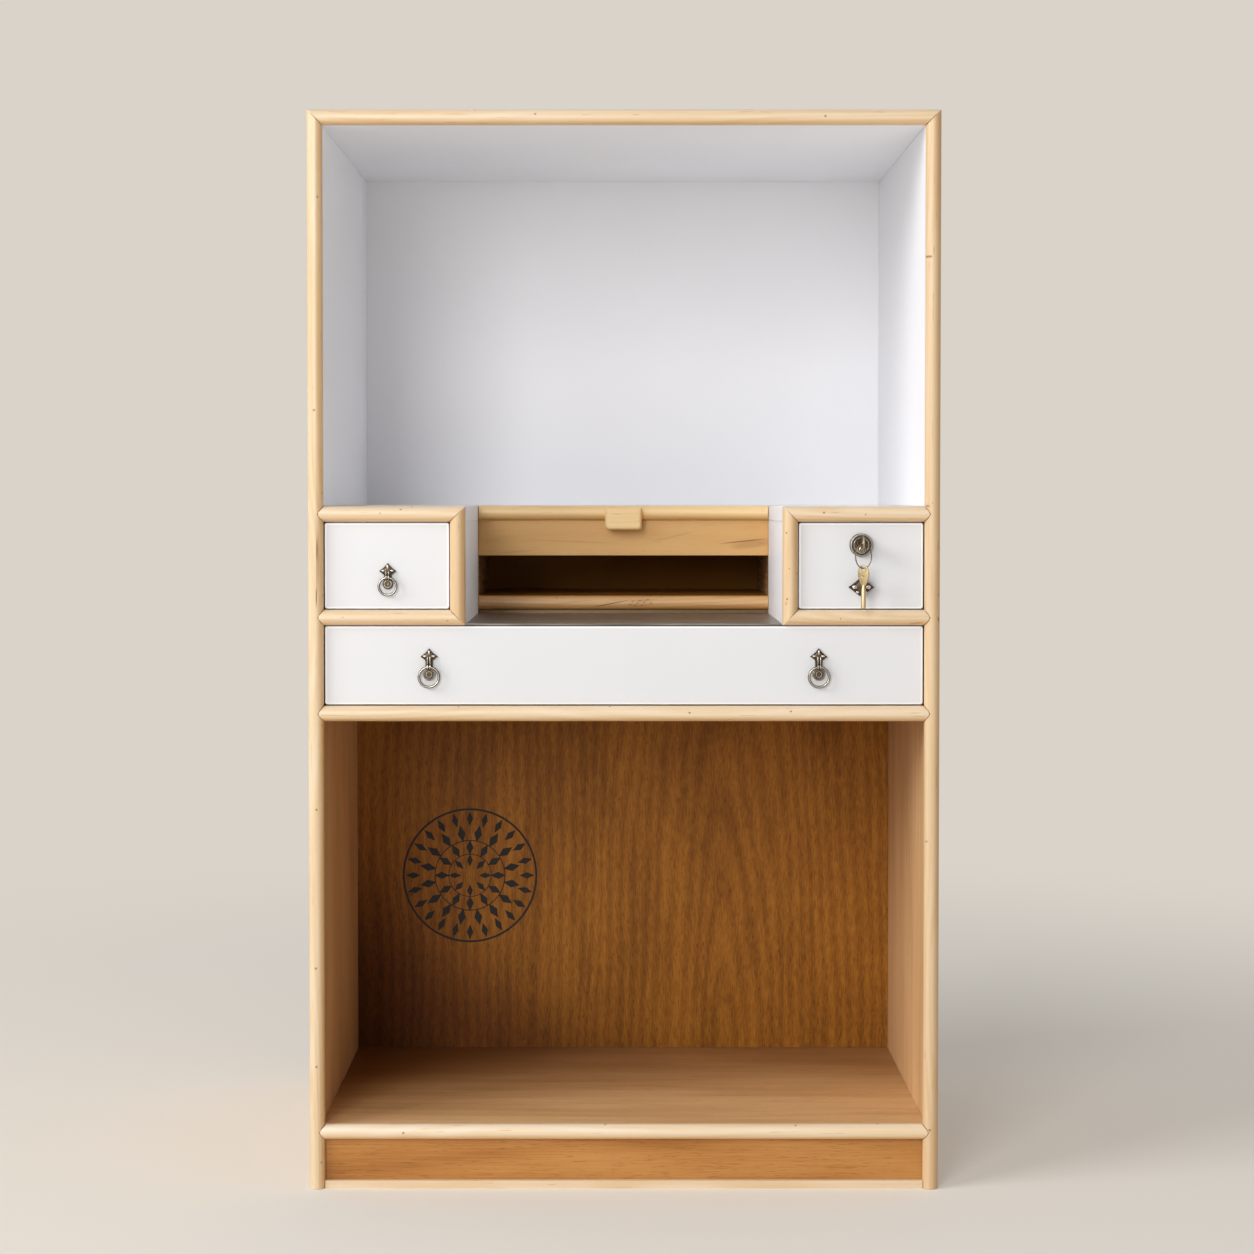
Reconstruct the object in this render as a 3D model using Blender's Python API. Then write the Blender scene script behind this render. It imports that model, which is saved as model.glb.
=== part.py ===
"""Three-drawer display table: an open alcove, a belt of drawers and an open shelf below.

Metres, +Z up. The carcass is drawn with the front edges of its boards on y = 0 and its back
towards +Y, and one empty then brings the middle of the whole outline over the origin. The
front edge of every board is covered by a half-round moulding as wide as the board is thick.
Left and right are the viewer's, with the left at -X.
"""

import math

import bmesh
import bpy
from mathutils import Matrix, Vector

# Carcass
WIDTH = 0.690
DEPTH = 0.490
HEIGHT = 1.180
BOARD = 0.017
LINING = 0.003
BACK = 0.006
BACK_INSET = 0.003
LOWER_DEPTH = 0.377

# Heights of the openings, from the floor up, with a board between each two. The alcove
# takes what is left under the top.
PLINTH_HEIGHT = 0.054
LOWER_OPENING = 0.443
WIDE_OPENING = 0.088
SMALL_OPENING = 0.096

# Plinth
PLINTH_SETBACK = 0.002
STRIP_HEIGHT = 0.009
STRIP_PROUD = 0.004
STRIP_DEPTH = 0.015

# Notch between the small drawers, with its steel plate
NOTCH_WIDTH = 0.346
NOTCH_DEPTH = 0.250
SUB_DECK = 0.009
PLATE = 0.0015

# Pigeonhole at the back of the notch, and the pull-out board over it
PIGEONHOLE_LIFT = 0.0055
PIGEONHOLE_HEIGHT = 0.048
FASCIA = 0.012
FASCIA_INSET = 0.002
DECK_BEHIND_SLIDE = 0.0392
TONGUE_LENGTH = 0.060
TONGUE_WIDTH = 0.0055
TONGUE = 0.006
GROOVE_STOP = 0.004
TAB_WIDTH = 0.0435
TAB_HEIGHT = 0.027
TAB_PROUD = 0.011
TAB_DROP = 0.002
TAB_ROUND = 0.004

# Drawers
FRONT = 0.017
FRONT_INSET = 0.001
FRONT_ROUND = 0.0018
DRAWER_LENGTH = 0.400
DRAWER_SIDE = 0.009
DRAWER_BOTTOM = 0.004
SMALL_SIDE_HEIGHT = 0.070
WIDE_SIDE_HEIGHT = 0.066

# Gaps: between pieces that touch, round a drawer front, beside a drawer and beside the slide
SEAM = 0.0003
REVEAL = 0.001
DRAWER_PLAY = 0.0015
SLIDE_PLAY = 0.0008

# Ring pulls. The wide drawer's are a size larger than the small drawer's.
SMALL_PULL_INWARD = 0.001
SMALL_PULL_HEIGHT = 0.0355
WIDE_PULL_OUT = 0.213
WIDE_PULL_HEIGHT = 0.0428
SMALL_RING = 0.0095
SMALL_RING_WIRE = 0.0013
SMALL_BOSS = 0.0058
SMALL_DOME = 0.0032
SMALL_LOZENGE_RISE = 0.0067
WIDE_RING = 0.0109
WIDE_RING_WIRE = 0.0014
WIDE_BOSS = 0.0070
WIDE_DOME = 0.0038
WIDE_LOZENGE_RISE = 0.0109
LOZENGE_HALF_WIDTH = 0.0095
LOZENGE_HALF_HEIGHT = 0.0090
LOZENGE_THICKNESS = 0.003
LOZENGE_TAPER = 0.55
PULL_STANDOFF = 0.0056
EYE_WALL = 0.0012
EYE_WIDTH = 0.0044
EYE_PLAY = 0.0008
RING_SEAT = 0.0004
BOSS_THICKNESS = 0.0026
DOME_HEIGHT = 0.0022
NECK_WIDTH = 0.0048
NECK_THICKNESS = 0.0017
WEB_WIDTH = 0.0035
WEB_HEIGHT = 0.0046

# Studs that hold pulls and knob, closed over on the inside of the drawer front
STUD = 0.002
STUD_PLAY = 0.0003
STUD_HEAD = 0.004
STUD_HEAD_THICKNESS = 0.0015

# Knob under the lock
KNOB_DROP = 0.049
KNOB_HALF_WIDTH = 0.0142
KNOB_HALF_HEIGHT = 0.0118
KNOB_HEAD = 0.005
KNOB_TAPER = 0.72
KNOB_PROUD = 0.0085
KNOB_STEM = 0.0045

# Lock of the right drawer
LOCK_DROP = 0.0223
ROSETTE_DROP = 0.003
ROSETTE = 0.01275
ROSETTE_THICKNESS = 0.0022
ROSETTE_RIM = 0.0112
ROSETTE_RIM_THICKNESS = 0.004
BARREL = 0.0095
BARREL_PLAY = 0.0003
PLUG = 0.0055
PLUG_PLAY = 0.0003
PLUG_PROUD = 0.003
CASE_HALF_WIDTH = 0.012
CASE_BELOW = 0.0102
CASE_WALL = 0.0033
BOLT_THICKNESS = 0.003
BOLT_LEFT = 0.0085
BOLT_RIGHT = 0.0045
BOLT_BELOW = 0.007
BOLT_ABOVE = 0.0205
BOLT_PLAY = 0.0004
BOLT_LIFT = 0.006
DRIVE_PIN = 0.001
DRIVE_PIN_PLAY = 0.0003
MORTISE_PLAY = 0.001

# Keys, and the wire loop that carries the spare one
SHANK = 0.0026
SHANK_LENGTH = 0.0212
SHANK_GRIP = 0.0052
BOW_WIDTH = 0.015
BOW_LENGTH = 0.0258
BOW_THICKNESS = 0.0018
BOW_STANDOFF = 0.0035
EYELET = 0.0026
EYELET_EDGE = 0.0020
PIN_HOLE = 0.0008
PIN_HOLE_RISE = 0.0137
LOOP_WIRE = 0.0006
LOOP_HALF_WIDTH = 0.00865
LOOP_HALF_HEIGHT = 0.0131
LOOP_SEAT = 0.00035
SPARE_HANG = 0.0011
SPARE_TURN = math.radians(45)

# Facets of round pieces, and steps of rounded edges
TRIM_SIDES = 32
ROUND_SIDES = 24
SMALL_SIDES = 12
DOME_SIDES = 16
DOME_RINGS = 8
RING_STEPS = 32
WIRE_SIDES = 10
BOW_STEPS = 10
EYELET_SIDES = 20
PIN_HOLE_SIDES = 8
FRONT_STEPS = 2
TAB_STEPS = 3
SHARP = math.radians(35)

# Working lengths: how far a joined solid runs into the other, how far a cutter runs past
# what it cuts through, and the distance within which points are one
SINK = 0.001
OVERRUN = 0.050
WELD = 1e-6

# Levels worked out from the sizes above
half_width = WIDTH / 2
panel = BOARD - LINING
side_inner = half_width - panel
trim_inner = half_width - BOARD
post_middle = half_width - BOARD / 2
notch_half = NOTCH_WIDTH / 2
divider_outer = notch_half + BOARD

floor_bottom = PLINTH_HEIGHT
floor_top = floor_bottom + BOARD
bay_bottom = floor_top + LOWER_OPENING
bay_top = bay_bottom + BOARD
middle_bottom = bay_top + WIDE_OPENING
middle_top = middle_bottom + BOARD
deck_bottom = middle_top + SMALL_OPENING
deck_top = deck_bottom + BOARD
ceiling = HEIGHT - BOARD

back_rear = DEPTH - BACK_INSET
back_front = back_rear - BACK
pigeonhole_bottom = middle_bottom + PIGEONHOLE_LIFT
pigeonhole_top = pigeonhole_bottom + BOARD
fascia_bottom = pigeonhole_top + PIGEONHOLE_HEIGHT
mouth_end = DEPTH - DECK_BEHIND_SLIDE
groove_middle = (deck_bottom + deck_top) / 2

front_rear = FRONT_INSET + FRONT
small_middle = (divider_outer + trim_inner) / 2
key_height = deck_bottom - LOCK_DROP
drive_radius = BOLT_LIFT / math.sqrt(2)
bolt_front = FRONT + SEAM + CASE_WALL + BOLT_PLAY
bolt_rear = bolt_front + BOLT_THICKNESS
case_rear = bolt_rear + BOLT_PLAY + CASE_WALL
eyelet_reach = BOW_LENGTH - EYELET_EDGE - EYELET
key_reach = PLUG_PROUD + BOW_STANDOFF + BOW_LENGTH
foremost = FRONT_INSET - key_reach

SIDES = {"left": -1, "right": 1}
TURN = {
    "X": Matrix.Rotation(math.pi / 2, 4, "Y"),
    "Y": Matrix.Rotation(math.pi / 2, 4, "X"),
    "Z": Matrix.Identity(4),
}


def clear_scene():
    for obj in list(bpy.data.objects):
        bpy.data.objects.remove(obj, do_unlink=True)


def new_collection(name):
    collection = bpy.data.collections.new(name)
    bpy.context.scene.collection.children.link(collection)
    return collection


def material(name, colour, roughness, metallic=0.0):
    made = bpy.data.materials.new(name)
    made.use_nodes = True
    shader = made.node_tree.nodes["Principled BSDF"]
    shader.inputs["Base Color"].default_value = (*colour, 1.0)
    shader.inputs["Roughness"].default_value = roughness
    shader.inputs["Metallic"].default_value = metallic
    made.diffuse_color = (*colour, 1.0)
    return made


clear_scene()
PARTS = new_collection("three_drawer_table")
CUTTERS = new_collection("cutters")

WHITE = material("white_lacquer", (0.80, 0.80, 0.79), 0.35)
PINE = material("pine", (0.79, 0.62, 0.40), 0.50)
BROWN = material("brown_veneer", (0.27, 0.13, 0.045), 0.55)
OAK = material("oak_veneer", (0.55, 0.33, 0.15), 0.55)
PLY = material("plywood", (0.66, 0.50, 0.31), 0.65)
STEEL = material("satin_steel", (0.42, 0.38, 0.32), 0.38, 1.0)
NICKEL = material("antique_nickel", (0.33, 0.30, 0.26), 0.35, 1.0)
BRASS = material("pale_brass", (0.76, 0.62, 0.36), 0.28, 1.0)


def empty(name, parent=None, place=(0, 0, 0)):
    """An empty that stands for a group of pieces that move as one."""
    made = bpy.data.objects.new(name, None)
    made.empty_display_size = 0.05
    made.location = place
    made.parent = parent
    PARTS.objects.link(made)
    return made


table = empty("three_drawer_table", place=(0, -(foremost + DEPTH) / 2, 0))


def add_box(bm, x, y, z):
    """A box over three spans, each a pair of low and high."""
    spans = (x, y, z)
    middle = Vector([(low + high) / 2 for low, high in spans])
    size = Vector([high - low for low, high in spans])
    bmesh.ops.create_cube(bm, size=1.0, matrix=Matrix.LocRotScale(middle, None, size))


def add_rod(bm, axis, low, high, centre=(0, 0, 0), radius=0.001, sides=ROUND_SIDES):
    """A round bar along an axis, from low to high on it, its middle line through centre."""
    middle = Vector(centre)
    middle["XYZ".index(axis)] = (low + high) / 2
    place = Matrix.Translation(middle) @ TURN[axis]
    bmesh.ops.create_cone(
        bm,
        cap_ends=True,
        segments=sides,
        radius1=radius,
        radius2=radius,
        depth=high - low,
        matrix=place,
    )


def mesh_from(bm, name):
    bmesh.ops.recalc_face_normals(bm, faces=bm.faces)
    mesh = bpy.data.meshes.new(name)
    bm.to_mesh(mesh)
    bm.free()
    return mesh


def piece(name, mesh, finish, parent=table, place=(0, 0, 0), smooth=False):
    """One piece of the table."""
    obj = bpy.data.objects.new(name, mesh)
    mesh.materials.append(finish)
    if smooth:
        mesh.shade_smooth()
        mesh.set_sharp_from_angle(angle=SHARP)
    obj.parent = parent
    obj.location = place
    PARTS.objects.link(obj)
    return obj


def tool(name, bm, parent=table):
    """A solid that only cuts or joins another, drawn in the space of its parent."""
    obj = bpy.data.objects.new(name, mesh_from(bm, name))
    obj.parent = parent
    obj.hide_render = True
    obj.display_type = "WIRE"
    CUTTERS.objects.link(obj)
    return obj


def combine(target, operand, operation):
    modifier = target.modifiers.new(operand.name, "BOOLEAN")
    modifier.operation = operation
    modifier.solver = "EXACT"
    modifier.object = operand


def cut(target, bm, name, parent=table):
    combine(target, tool(name, bm, parent), "DIFFERENCE")


def join(target, bm, name, parent=table):
    combine(target, tool(name, bm, parent), "UNION")


def box_cut(target, name, x, y, z, parent=table):
    bm = bmesh.new()
    add_box(bm, x, y, z)
    cut(target, bm, name, parent)


def box_join(target, name, x, y, z, parent=table):
    bm = bmesh.new()
    add_box(bm, x, y, z)
    join(target, bm, name, parent)


def rod_cut(target, name, axis, low, high, centre, radius, parent=table, sides=ROUND_SIDES):
    bm = bmesh.new()
    add_rod(bm, axis, low, high, centre, radius, sides)
    cut(target, bm, name, parent)


def rod_join(target, name, axis, low, high, centre, radius, parent=table, sides=ROUND_SIDES):
    bm = bmesh.new()
    add_rod(bm, axis, low, high, centre, radius, sides)
    join(target, bm, name, parent)


def board(name, x, y, z, finish, parent=table):
    """A board over three spans. Each face stops half a seam short of the plane that it
    shares with its neighbour, but a board that stands on the floor reaches it."""
    half = SEAM / 2
    foot = z[0] + half if z[0] > 0 else z[0]
    bm = bmesh.new()
    add_box(bm, (x[0] + half, x[1] - half), (y[0] + half, y[1] - half), (foot, z[1] - half))
    return piece(name, mesh_from(bm, name), finish, parent)


def saw(bm, point, outward):
    """Removes what lies past a plane through point, half a seam in from it, and closes
    the cut."""
    outward = Vector(outward).normalized()
    plane = Vector(point) - outward * SEAM / 2
    found = bmesh.ops.bisect_plane(
        bm,
        geom=[*bm.verts, *bm.edges, *bm.faces],
        dist=WELD,
        plane_co=plane,
        plane_no=outward,
        clear_outer=True,
    )
    edges = [item for item in found["geom_cut"] if isinstance(item, bmesh.types.BMEdge)]
    bmesh.ops.edgeloop_fill(bm, edges=edges)


def half_round(name, axis, low, high, centre, cuts=(), parent=table):
    """A half-round moulding along X or Z whose flat back faces +Y. Its ends run on past
    low and high where cuts, each a point and an outward direction, then trim them."""
    spare = BOARD if cuts else 0
    bm = bmesh.new()
    add_rod(bm, axis, low - spare, high + spare, centre, BOARD / 2, TRIM_SIDES)
    saw(bm, centre, (0, 1, 0))
    for point, outward in cuts:
        saw(bm, point, outward)
    return piece(name, mesh_from(bm, name), PINE, parent, smooth=True)


def point_cuts(side, level):
    """The two saw cuts that point a rail's end where it enters a post, on the post's
    middle line."""
    tip = (side * post_middle, 0, level)
    return [(tip, (side, 0, 1)), (tip, (side, 0, -1))]


def carcass():
    for name, side in SIDES.items():
        outer, inner = side * half_width, side * side_inner
        x = (min(outer, inner), max(outer, inner))
        board(f"side_panel_{name}", x, (0, DEPTH), (0, HEIGHT - panel), BROWN)
    board("top_panel", (-half_width, half_width), (0, DEPTH), (HEIGHT - panel, HEIGHT), BROWN)
    full = (-side_inner, side_inner)
    board("floor_board", full, (0, back_rear), (floor_bottom, floor_top), BROWN)
    board("drawer_bay_floor", full, (0, back_rear), (bay_bottom, bay_top), BROWN)
    sub_deck = (middle_bottom - SUB_DECK, middle_bottom)
    board("sub_deck", full, (front_rear + REVEAL, back_front), sub_deck, PLY)
    lower_back = (LOWER_DEPTH, LOWER_DEPTH + BACK)
    board("lower_back", full, lower_back, (floor_top, bay_bottom), BROWN)
    board("drawer_bay_back", full, (back_front, back_rear), (bay_top, deck_bottom), PLY)


def plinth():
    setback = (PLINTH_SETBACK, PLINTH_SETBACK + panel)
    full = (-side_inner, side_inner)
    board("plinth_front", full, setback, (STRIP_HEIGHT, floor_bottom), OAK)
    board("plinth_back", full, (back_rear - BOARD, back_rear), (0, floor_bottom), BROWN)
    strip = (-STRIP_PROUD, STRIP_DEPTH - STRIP_PROUD)
    board("plinth_strip", (-trim_inner, trim_inner), strip, (0, STRIP_HEIGHT), PINE)


def alcove():
    for name, side in SIDES.items():
        outer, inner = side * side_inner, side * trim_inner
        x = (min(outer, inner), max(outer, inner))
        board(f"alcove_lining_{name}", x, (0, back_front), (deck_top, ceiling), WHITE)
    full = (-side_inner, side_inner)
    board("alcove_lining_top", full, (0, back_front), (ceiling, HEIGHT - panel), WHITE)
    board("alcove_back", full, (back_front, back_rear), (deck_top, HEIGHT - panel), WHITE)


def deck():
    """The alcove's floor, open in the middle for the notch and the pull-out board, with a
    stopped groove along each side of the mouth and a mortise for the lock's bolt."""
    full = (-side_inner, side_inner)
    made = board("deck", full, (0, back_rear), (deck_bottom, deck_top), WHITE)
    through = (deck_bottom - OVERRUN, deck_top + OVERRUN)
    box_cut(made, "deck_mouth", (-notch_half, notch_half), (-OVERRUN, mouth_end), through)
    reach = notch_half + TONGUE_WIDTH + SLIDE_PLAY
    half = TONGUE / 2 + SEAM
    groove = (NOTCH_DEPTH + GROOVE_STOP, mouth_end)
    height = (groove_middle - half, groove_middle + half)
    box_cut(made, "deck_grooves", (-reach, reach), groove, height)
    low = small_middle - BOLT_LEFT - MORTISE_PLAY
    high = small_middle + BOLT_RIGHT + MORTISE_PLAY
    first = FRONT_INSET + bolt_front - MORTISE_PLAY
    last = FRONT_INSET + bolt_rear + MORTISE_PLAY
    roof = deck_bottom + BOLT_LIFT + MORTISE_PLAY
    box_cut(made, "bolt_mortise", (low, high), (first, last), (deck_bottom - OVERRUN, roof))


def middle_belt():
    for name, side in SIDES.items():
        x = sorted((side * notch_half, side * divider_outer))
        board(f"divider_{name}", x, (0, back_front), (middle_bottom, deck_bottom), WHITE)
        x = sorted((side * divider_outer, side * side_inner))
        z = (middle_bottom, middle_top)
        board(f"small_drawer_floor_{name}", x, (0, back_front), z, WHITE)
    notch = (-notch_half, notch_half)
    plate = board(
        "notch_plate", notch, (0, NOTCH_DEPTH), (middle_bottom, pigeonhole_bottom), STEEL
    )
    over = (middle_bottom + SEAM / 2 + PLATE, pigeonhole_bottom + OVERRUN)
    rear = NOTCH_DEPTH - SEAM / 2 - PLATE
    box_cut(plate, "plate_fold", (-half_width, half_width), (-OVERRUN, rear), over)
    z = (pigeonhole_bottom, pigeonhole_top)
    board("pigeonhole_floor", notch, (NOTCH_DEPTH, back_front), z, OAK)
    face = NOTCH_DEPTH + FASCIA_INSET
    board("fascia", notch, (face, face + FASCIA), (fascia_bottom, deck_bottom), OAK)


def mouldings():
    """Half-rounds over the front edges. Posts run from floor to top and are notched for
    the rails' points, and the outer corners and those of the notch are mitred."""
    rails = {
        "floor": (floor_bottom + floor_top) / 2,
        "bay_floor": (bay_bottom + bay_top) / 2,
        "small_floor": (middle_bottom + middle_top) / 2,
        "deck": (deck_bottom + deck_top) / 2,
    }
    mitres = []
    for name, side in SIDES.items():
        corner = (side * half_width, 0, HEIGHT)
        mitre = (corner, (-side, 0, 1))
        mitres.append((corner, (side, 0, -1)))
        centre = (side * post_middle, 0, 0)
        bm = bmesh.new()
        add_rod(bm, "Z", 0, HEIGHT + BOARD, centre, BOARD / 2, TRIM_SIDES)
        saw(bm, centre, (0, 1, 0))
        saw(bm, *mitre)
        post = piece(f"post_trim_{name}", mesh_from(bm, f"post_trim_{name}"), PINE, smooth=True)
        for rail, level in rails.items():
            cross = (BOARD / 2 + SEAM / math.sqrt(2)) * math.sqrt(2)
            bm = bmesh.new()
            turn = Matrix.Rotation(math.pi / 4, 4, "Y")
            place = Matrix.Translation((side * trim_inner, 0, level))
            size = Matrix.Diagonal((cross, OVERRUN, cross, 1))
            bmesh.ops.create_cube(bm, size=1.0, matrix=place @ turn @ size)
            cut(post, bm, f"post_notch_{name}_{rail}")
    level = HEIGHT - BOARD / 2
    half_round("trim_top", "X", -half_width, half_width, (0, 0, level), mitres)

    for rail in ("bay_floor", "floor"):
        level = rails[rail]
        ends = point_cuts(-1, level) + point_cuts(1, level)
        half_round(f"trim_{rail}", "X", -post_middle, post_middle, (0, 0, level), ends)

    for name, side in SIDES.items():
        upper = (side * notch_half, 0, deck_top)
        lower = (side * notch_half, 0, middle_bottom)
        x = sorted((side * notch_half, side * post_middle))
        level = rails["deck"]
        ends = point_cuts(side, level) + [(upper, (-side, 0, -1))]
        half_round(f"trim_deck_{name}", "X", *x, (0, 0, level), ends)
        level = rails["small_floor"]
        ends = point_cuts(side, level) + [(lower, (-side, 0, 1))]
        half_round(f"trim_small_floor_{name}", "X", *x, (0, 0, level), ends)
        centre = (side * (notch_half + BOARD / 2), 0, 0)
        ends = [(upper, (side, 0, 1)), (lower, (side, 0, -1))]
        half_round(f"trim_notch_{name}", "Z", middle_bottom, deck_top, centre, ends)

    level = (pigeonhole_bottom + pigeonhole_top) / 2
    inner = notch_half - SEAM
    half_round("trim_pigeonhole", "X", -inner, inner, (0, NOTCH_DEPTH, level))


def slide():
    """The pull-out board level with the deck. Tongues on its rear end run in the deck's
    grooves, and its front edge carries a half-round and a tab to pull it by."""
    mover = empty("slide_set", table)
    inner = notch_half - SLIDE_PLAY
    y = (NOTCH_DEPTH, mouth_end - SLIDE_PLAY)
    made = board("slide_board", (-inner, inner), y, (deck_bottom, deck_top), WHITE, mover)
    reach = notch_half + TONGUE_WIDTH
    y = (y[1] - TONGUE_LENGTH, y[1] - SEAM)
    z = (groove_middle - TONGUE / 2, groove_middle + TONGUE / 2)
    box_join(made, "slide_tongues", (-reach, reach), y, z, mover)
    level = (deck_bottom + deck_top) / 2
    half_round("slide_trim", "X", -inner, inner, (0, NOTCH_DEPTH, level), parent=mover)

    bm = bmesh.new()
    roof = deck_top - TAB_DROP
    face = NOTCH_DEPTH - BOARD / 2 - TAB_PROUD
    x = (-TAB_WIDTH / 2, TAB_WIDTH / 2)
    add_box(bm, x, (face, NOTCH_DEPTH - SEAM), (roof - TAB_HEIGHT, roof))
    rounded = [edge for edge in bm.edges if min(v.co.y for v in edge.verts) < face + SEAM]
    bmesh.ops.bevel(
        bm, geom=rounded, offset=TAB_ROUND, segments=TAB_STEPS, profile=0.5, affect="EDGES"
    )
    tab = piece("slide_tab", mesh_from(bm, "slide_tab"), PINE, mover, smooth=True)
    centre = (0, NOTCH_DEPTH, level)
    radius = BOARD / 2 + SEAM
    rod_cut(tab, "tab_seat", "X", -TAB_WIDTH, TAB_WIDTH, centre, radius, mover, TRIM_SIDES)


def drawer(name, x, z, side_height):
    """A drawer in the opening over the spans x and z: front, glued box and bottom."""
    mover = empty(f"{name}_drawer", table)
    bm = bmesh.new()
    face = (FRONT_INSET, front_rear)
    add_box(bm, (x[0] + REVEAL, x[1] - REVEAL), face, (z[0] + REVEAL, z[1] - REVEAL))
    eased = [edge for edge in bm.edges if min(v.co.y for v in edge.verts) < front_rear - SEAM]
    bmesh.ops.bevel(
        bm, geom=eased, offset=FRONT_ROUND, segments=FRONT_STEPS, profile=0.5, affect="EDGES"
    )
    front = piece(f"{name}_drawer_front", mesh_from(bm, name), WHITE, mover, smooth=True)

    span = (x[0] + DRAWER_PLAY, x[1] - DRAWER_PLAY)
    y = (front_rear + SEAM, front_rear + SEAM + DRAWER_LENGTH)
    floor = z[0] + SEAM
    bm = bmesh.new()
    add_box(bm, span, y, (floor, floor + DRAWER_BOTTOM))
    piece(f"{name}_drawer_bottom", mesh_from(bm, name), PLY, mover)

    base = floor + DRAWER_BOTTOM + SEAM
    bm = bmesh.new()
    add_box(bm, span, y, (base, base + side_height))
    box = piece(f"{name}_drawer_box", mesh_from(bm, name), PLY, mover)
    inside = (span[0] + DRAWER_SIDE, span[1] - DRAWER_SIDE)
    length = (y[0] - OVERRUN, y[1] - DRAWER_SIDE)
    height = (base - OVERRUN, base + side_height + OVERRUN)
    box_cut(box, f"{name}_drawer_inside", inside, length, height, mover)
    return mover, front


def stud(target, name, z, parent):
    """A stud through the drawer front, closed over behind it."""
    centre = (0, 0, z)
    inner = FRONT + SEAM
    head = inner + STUD_HEAD_THICKNESS
    shaft = (-SEAM - SINK, head - SEAM)
    rod_join(target, f"{name}_stud", "Y", *shaft, centre, STUD, parent, SMALL_SIDES)
    rod_join(target, f"{name}_stud_head", "Y", inner, head, centre, STUD_HEAD, parent)


def stud_way(front, name, x, z, mover):
    """The hole for a stud through the drawer front."""
    ends = (-OVERRUN, OVERRUN)
    radius = STUD + STUD_PLAY
    rod_cut(front, f"{name}_way", "Y", *ends, (x, 0, z), radius, mover, SMALL_SIDES)


def lozenge(half_width_x, half_height_z, front, rear, taper):
    """A four-sided plate on its point, narrower towards the front."""
    bm = bmesh.new()
    place = Matrix.Translation((0, (front + rear) / 2, 0)) @ TURN["Y"]
    size = Matrix.Diagonal((half_width_x, half_height_z, 1, 1))
    bmesh.ops.create_cone(
        bm,
        cap_ends=True,
        segments=4,
        radius1=1.0,
        radius2=taper,
        depth=rear - front,
        matrix=place @ size,
    )
    return bm


def ring_pull(name, place, mover, front, ring, wire, boss, dome, rise):
    """A cast plate and its ring. The plate has a lozenge above, a domed boss below and an
    eye between them, whose hole runs along X. Place is where the hole's axis stands in
    front of the drawer's face."""
    x, z = place
    boss_drop = ring + RING_SEAT - wire * 2
    bm = bmesh.new()
    add_rod(bm, "Y", -BOSS_THICKNESS, -SEAM, (0, 0, -boss_drop), boss)
    mesh = mesh_from(bm, name)
    plate = piece(name, mesh, NICKEL, mover, (x, FRONT_INSET, z), smooth=True)

    bm = bmesh.new()
    bmesh.ops.create_uvsphere(
        bm,
        u_segments=DOME_SIDES,
        v_segments=DOME_RINGS,
        radius=1.0,
        matrix=Matrix.Translation((0, -BOSS_THICKNESS, -boss_drop))
        @ Matrix.Diagonal((dome, DOME_HEIGHT, dome, 1))
        @ TURN["Y"],
    )
    join(plate, bm, f"{name}_dome", plate)
    half_size = (LOZENGE_HALF_WIDTH, LOZENGE_HALF_HEIGHT)
    bm = lozenge(*half_size, -LOZENGE_THICKNESS, -SEAM, LOZENGE_TAPER)
    bmesh.ops.translate(bm, verts=bm.verts, vec=(0, 0, rise))
    join(plate, bm, f"{name}_lozenge", plate)
    neck_front = -SEAM - NECK_THICKNESS
    half = NECK_WIDTH / 2
    neck = (neck_front, -SEAM * 2)
    box_join(plate, f"{name}_neck", (-half, half), neck, (-boss_drop, rise), plate)
    half = WEB_WIDTH / 2
    web = (-PULL_STANDOFF, neck_front + SINK)
    height = (-WEB_HEIGHT / 2, WEB_HEIGHT / 2)
    box_join(plate, f"{name}_web", (-half, half), web, height, plate)
    half = EYE_WIDTH / 2
    outer = wire + EYE_PLAY + EYE_WALL
    axis = (0, -PULL_STANDOFF, 0)
    rod_join(plate, f"{name}_eye", "X", -half, half, axis, outer, plate)
    rod_cut(plate, f"{name}_hole", "X", -EYE_WIDTH, EYE_WIDTH, axis, wire + EYE_PLAY, plate)
    stud(plate, name, -boss_drop, plate)
    stud_way(front, name, x, z - boss_drop, mover)

    bpy.ops.mesh.primitive_torus_add(
        major_radius=ring,
        minor_radius=wire,
        major_segments=RING_STEPS,
        minor_segments=WIRE_SIDES,
    )
    made = bpy.context.active_object
    mesh = made.data
    mesh.transform(Matrix.Translation((0, 0, -ring - RING_SEAT)) @ TURN["Y"])
    bpy.data.objects.remove(made, do_unlink=True)
    centre = (x, FRONT_INSET - PULL_STANDOFF, z)
    piece(f"{name}_ring", mesh, NICKEL, mover, centre, smooth=True)


def knob(mover, front):
    """The lozenge knob under the lock."""
    z = key_height - KNOB_DROP
    head = (-KNOB_PROUD, KNOB_HEAD - KNOB_PROUD)
    bm = lozenge(KNOB_HALF_WIDTH, KNOB_HALF_HEIGHT, *head, KNOB_TAPER)
    mesh = mesh_from(bm, "lozenge_knob")
    made = piece("lozenge_knob", mesh, NICKEL, mover, (small_middle, FRONT_INSET, z))
    rod_join(made, "knob_stem", "Y", head[1] - SINK, -SEAM, (0, 0, 0), KNOB_STEM, made)
    stud(made, "knob", 0, made)
    stud_way(front, "knob", small_middle, z, mover)


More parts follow.
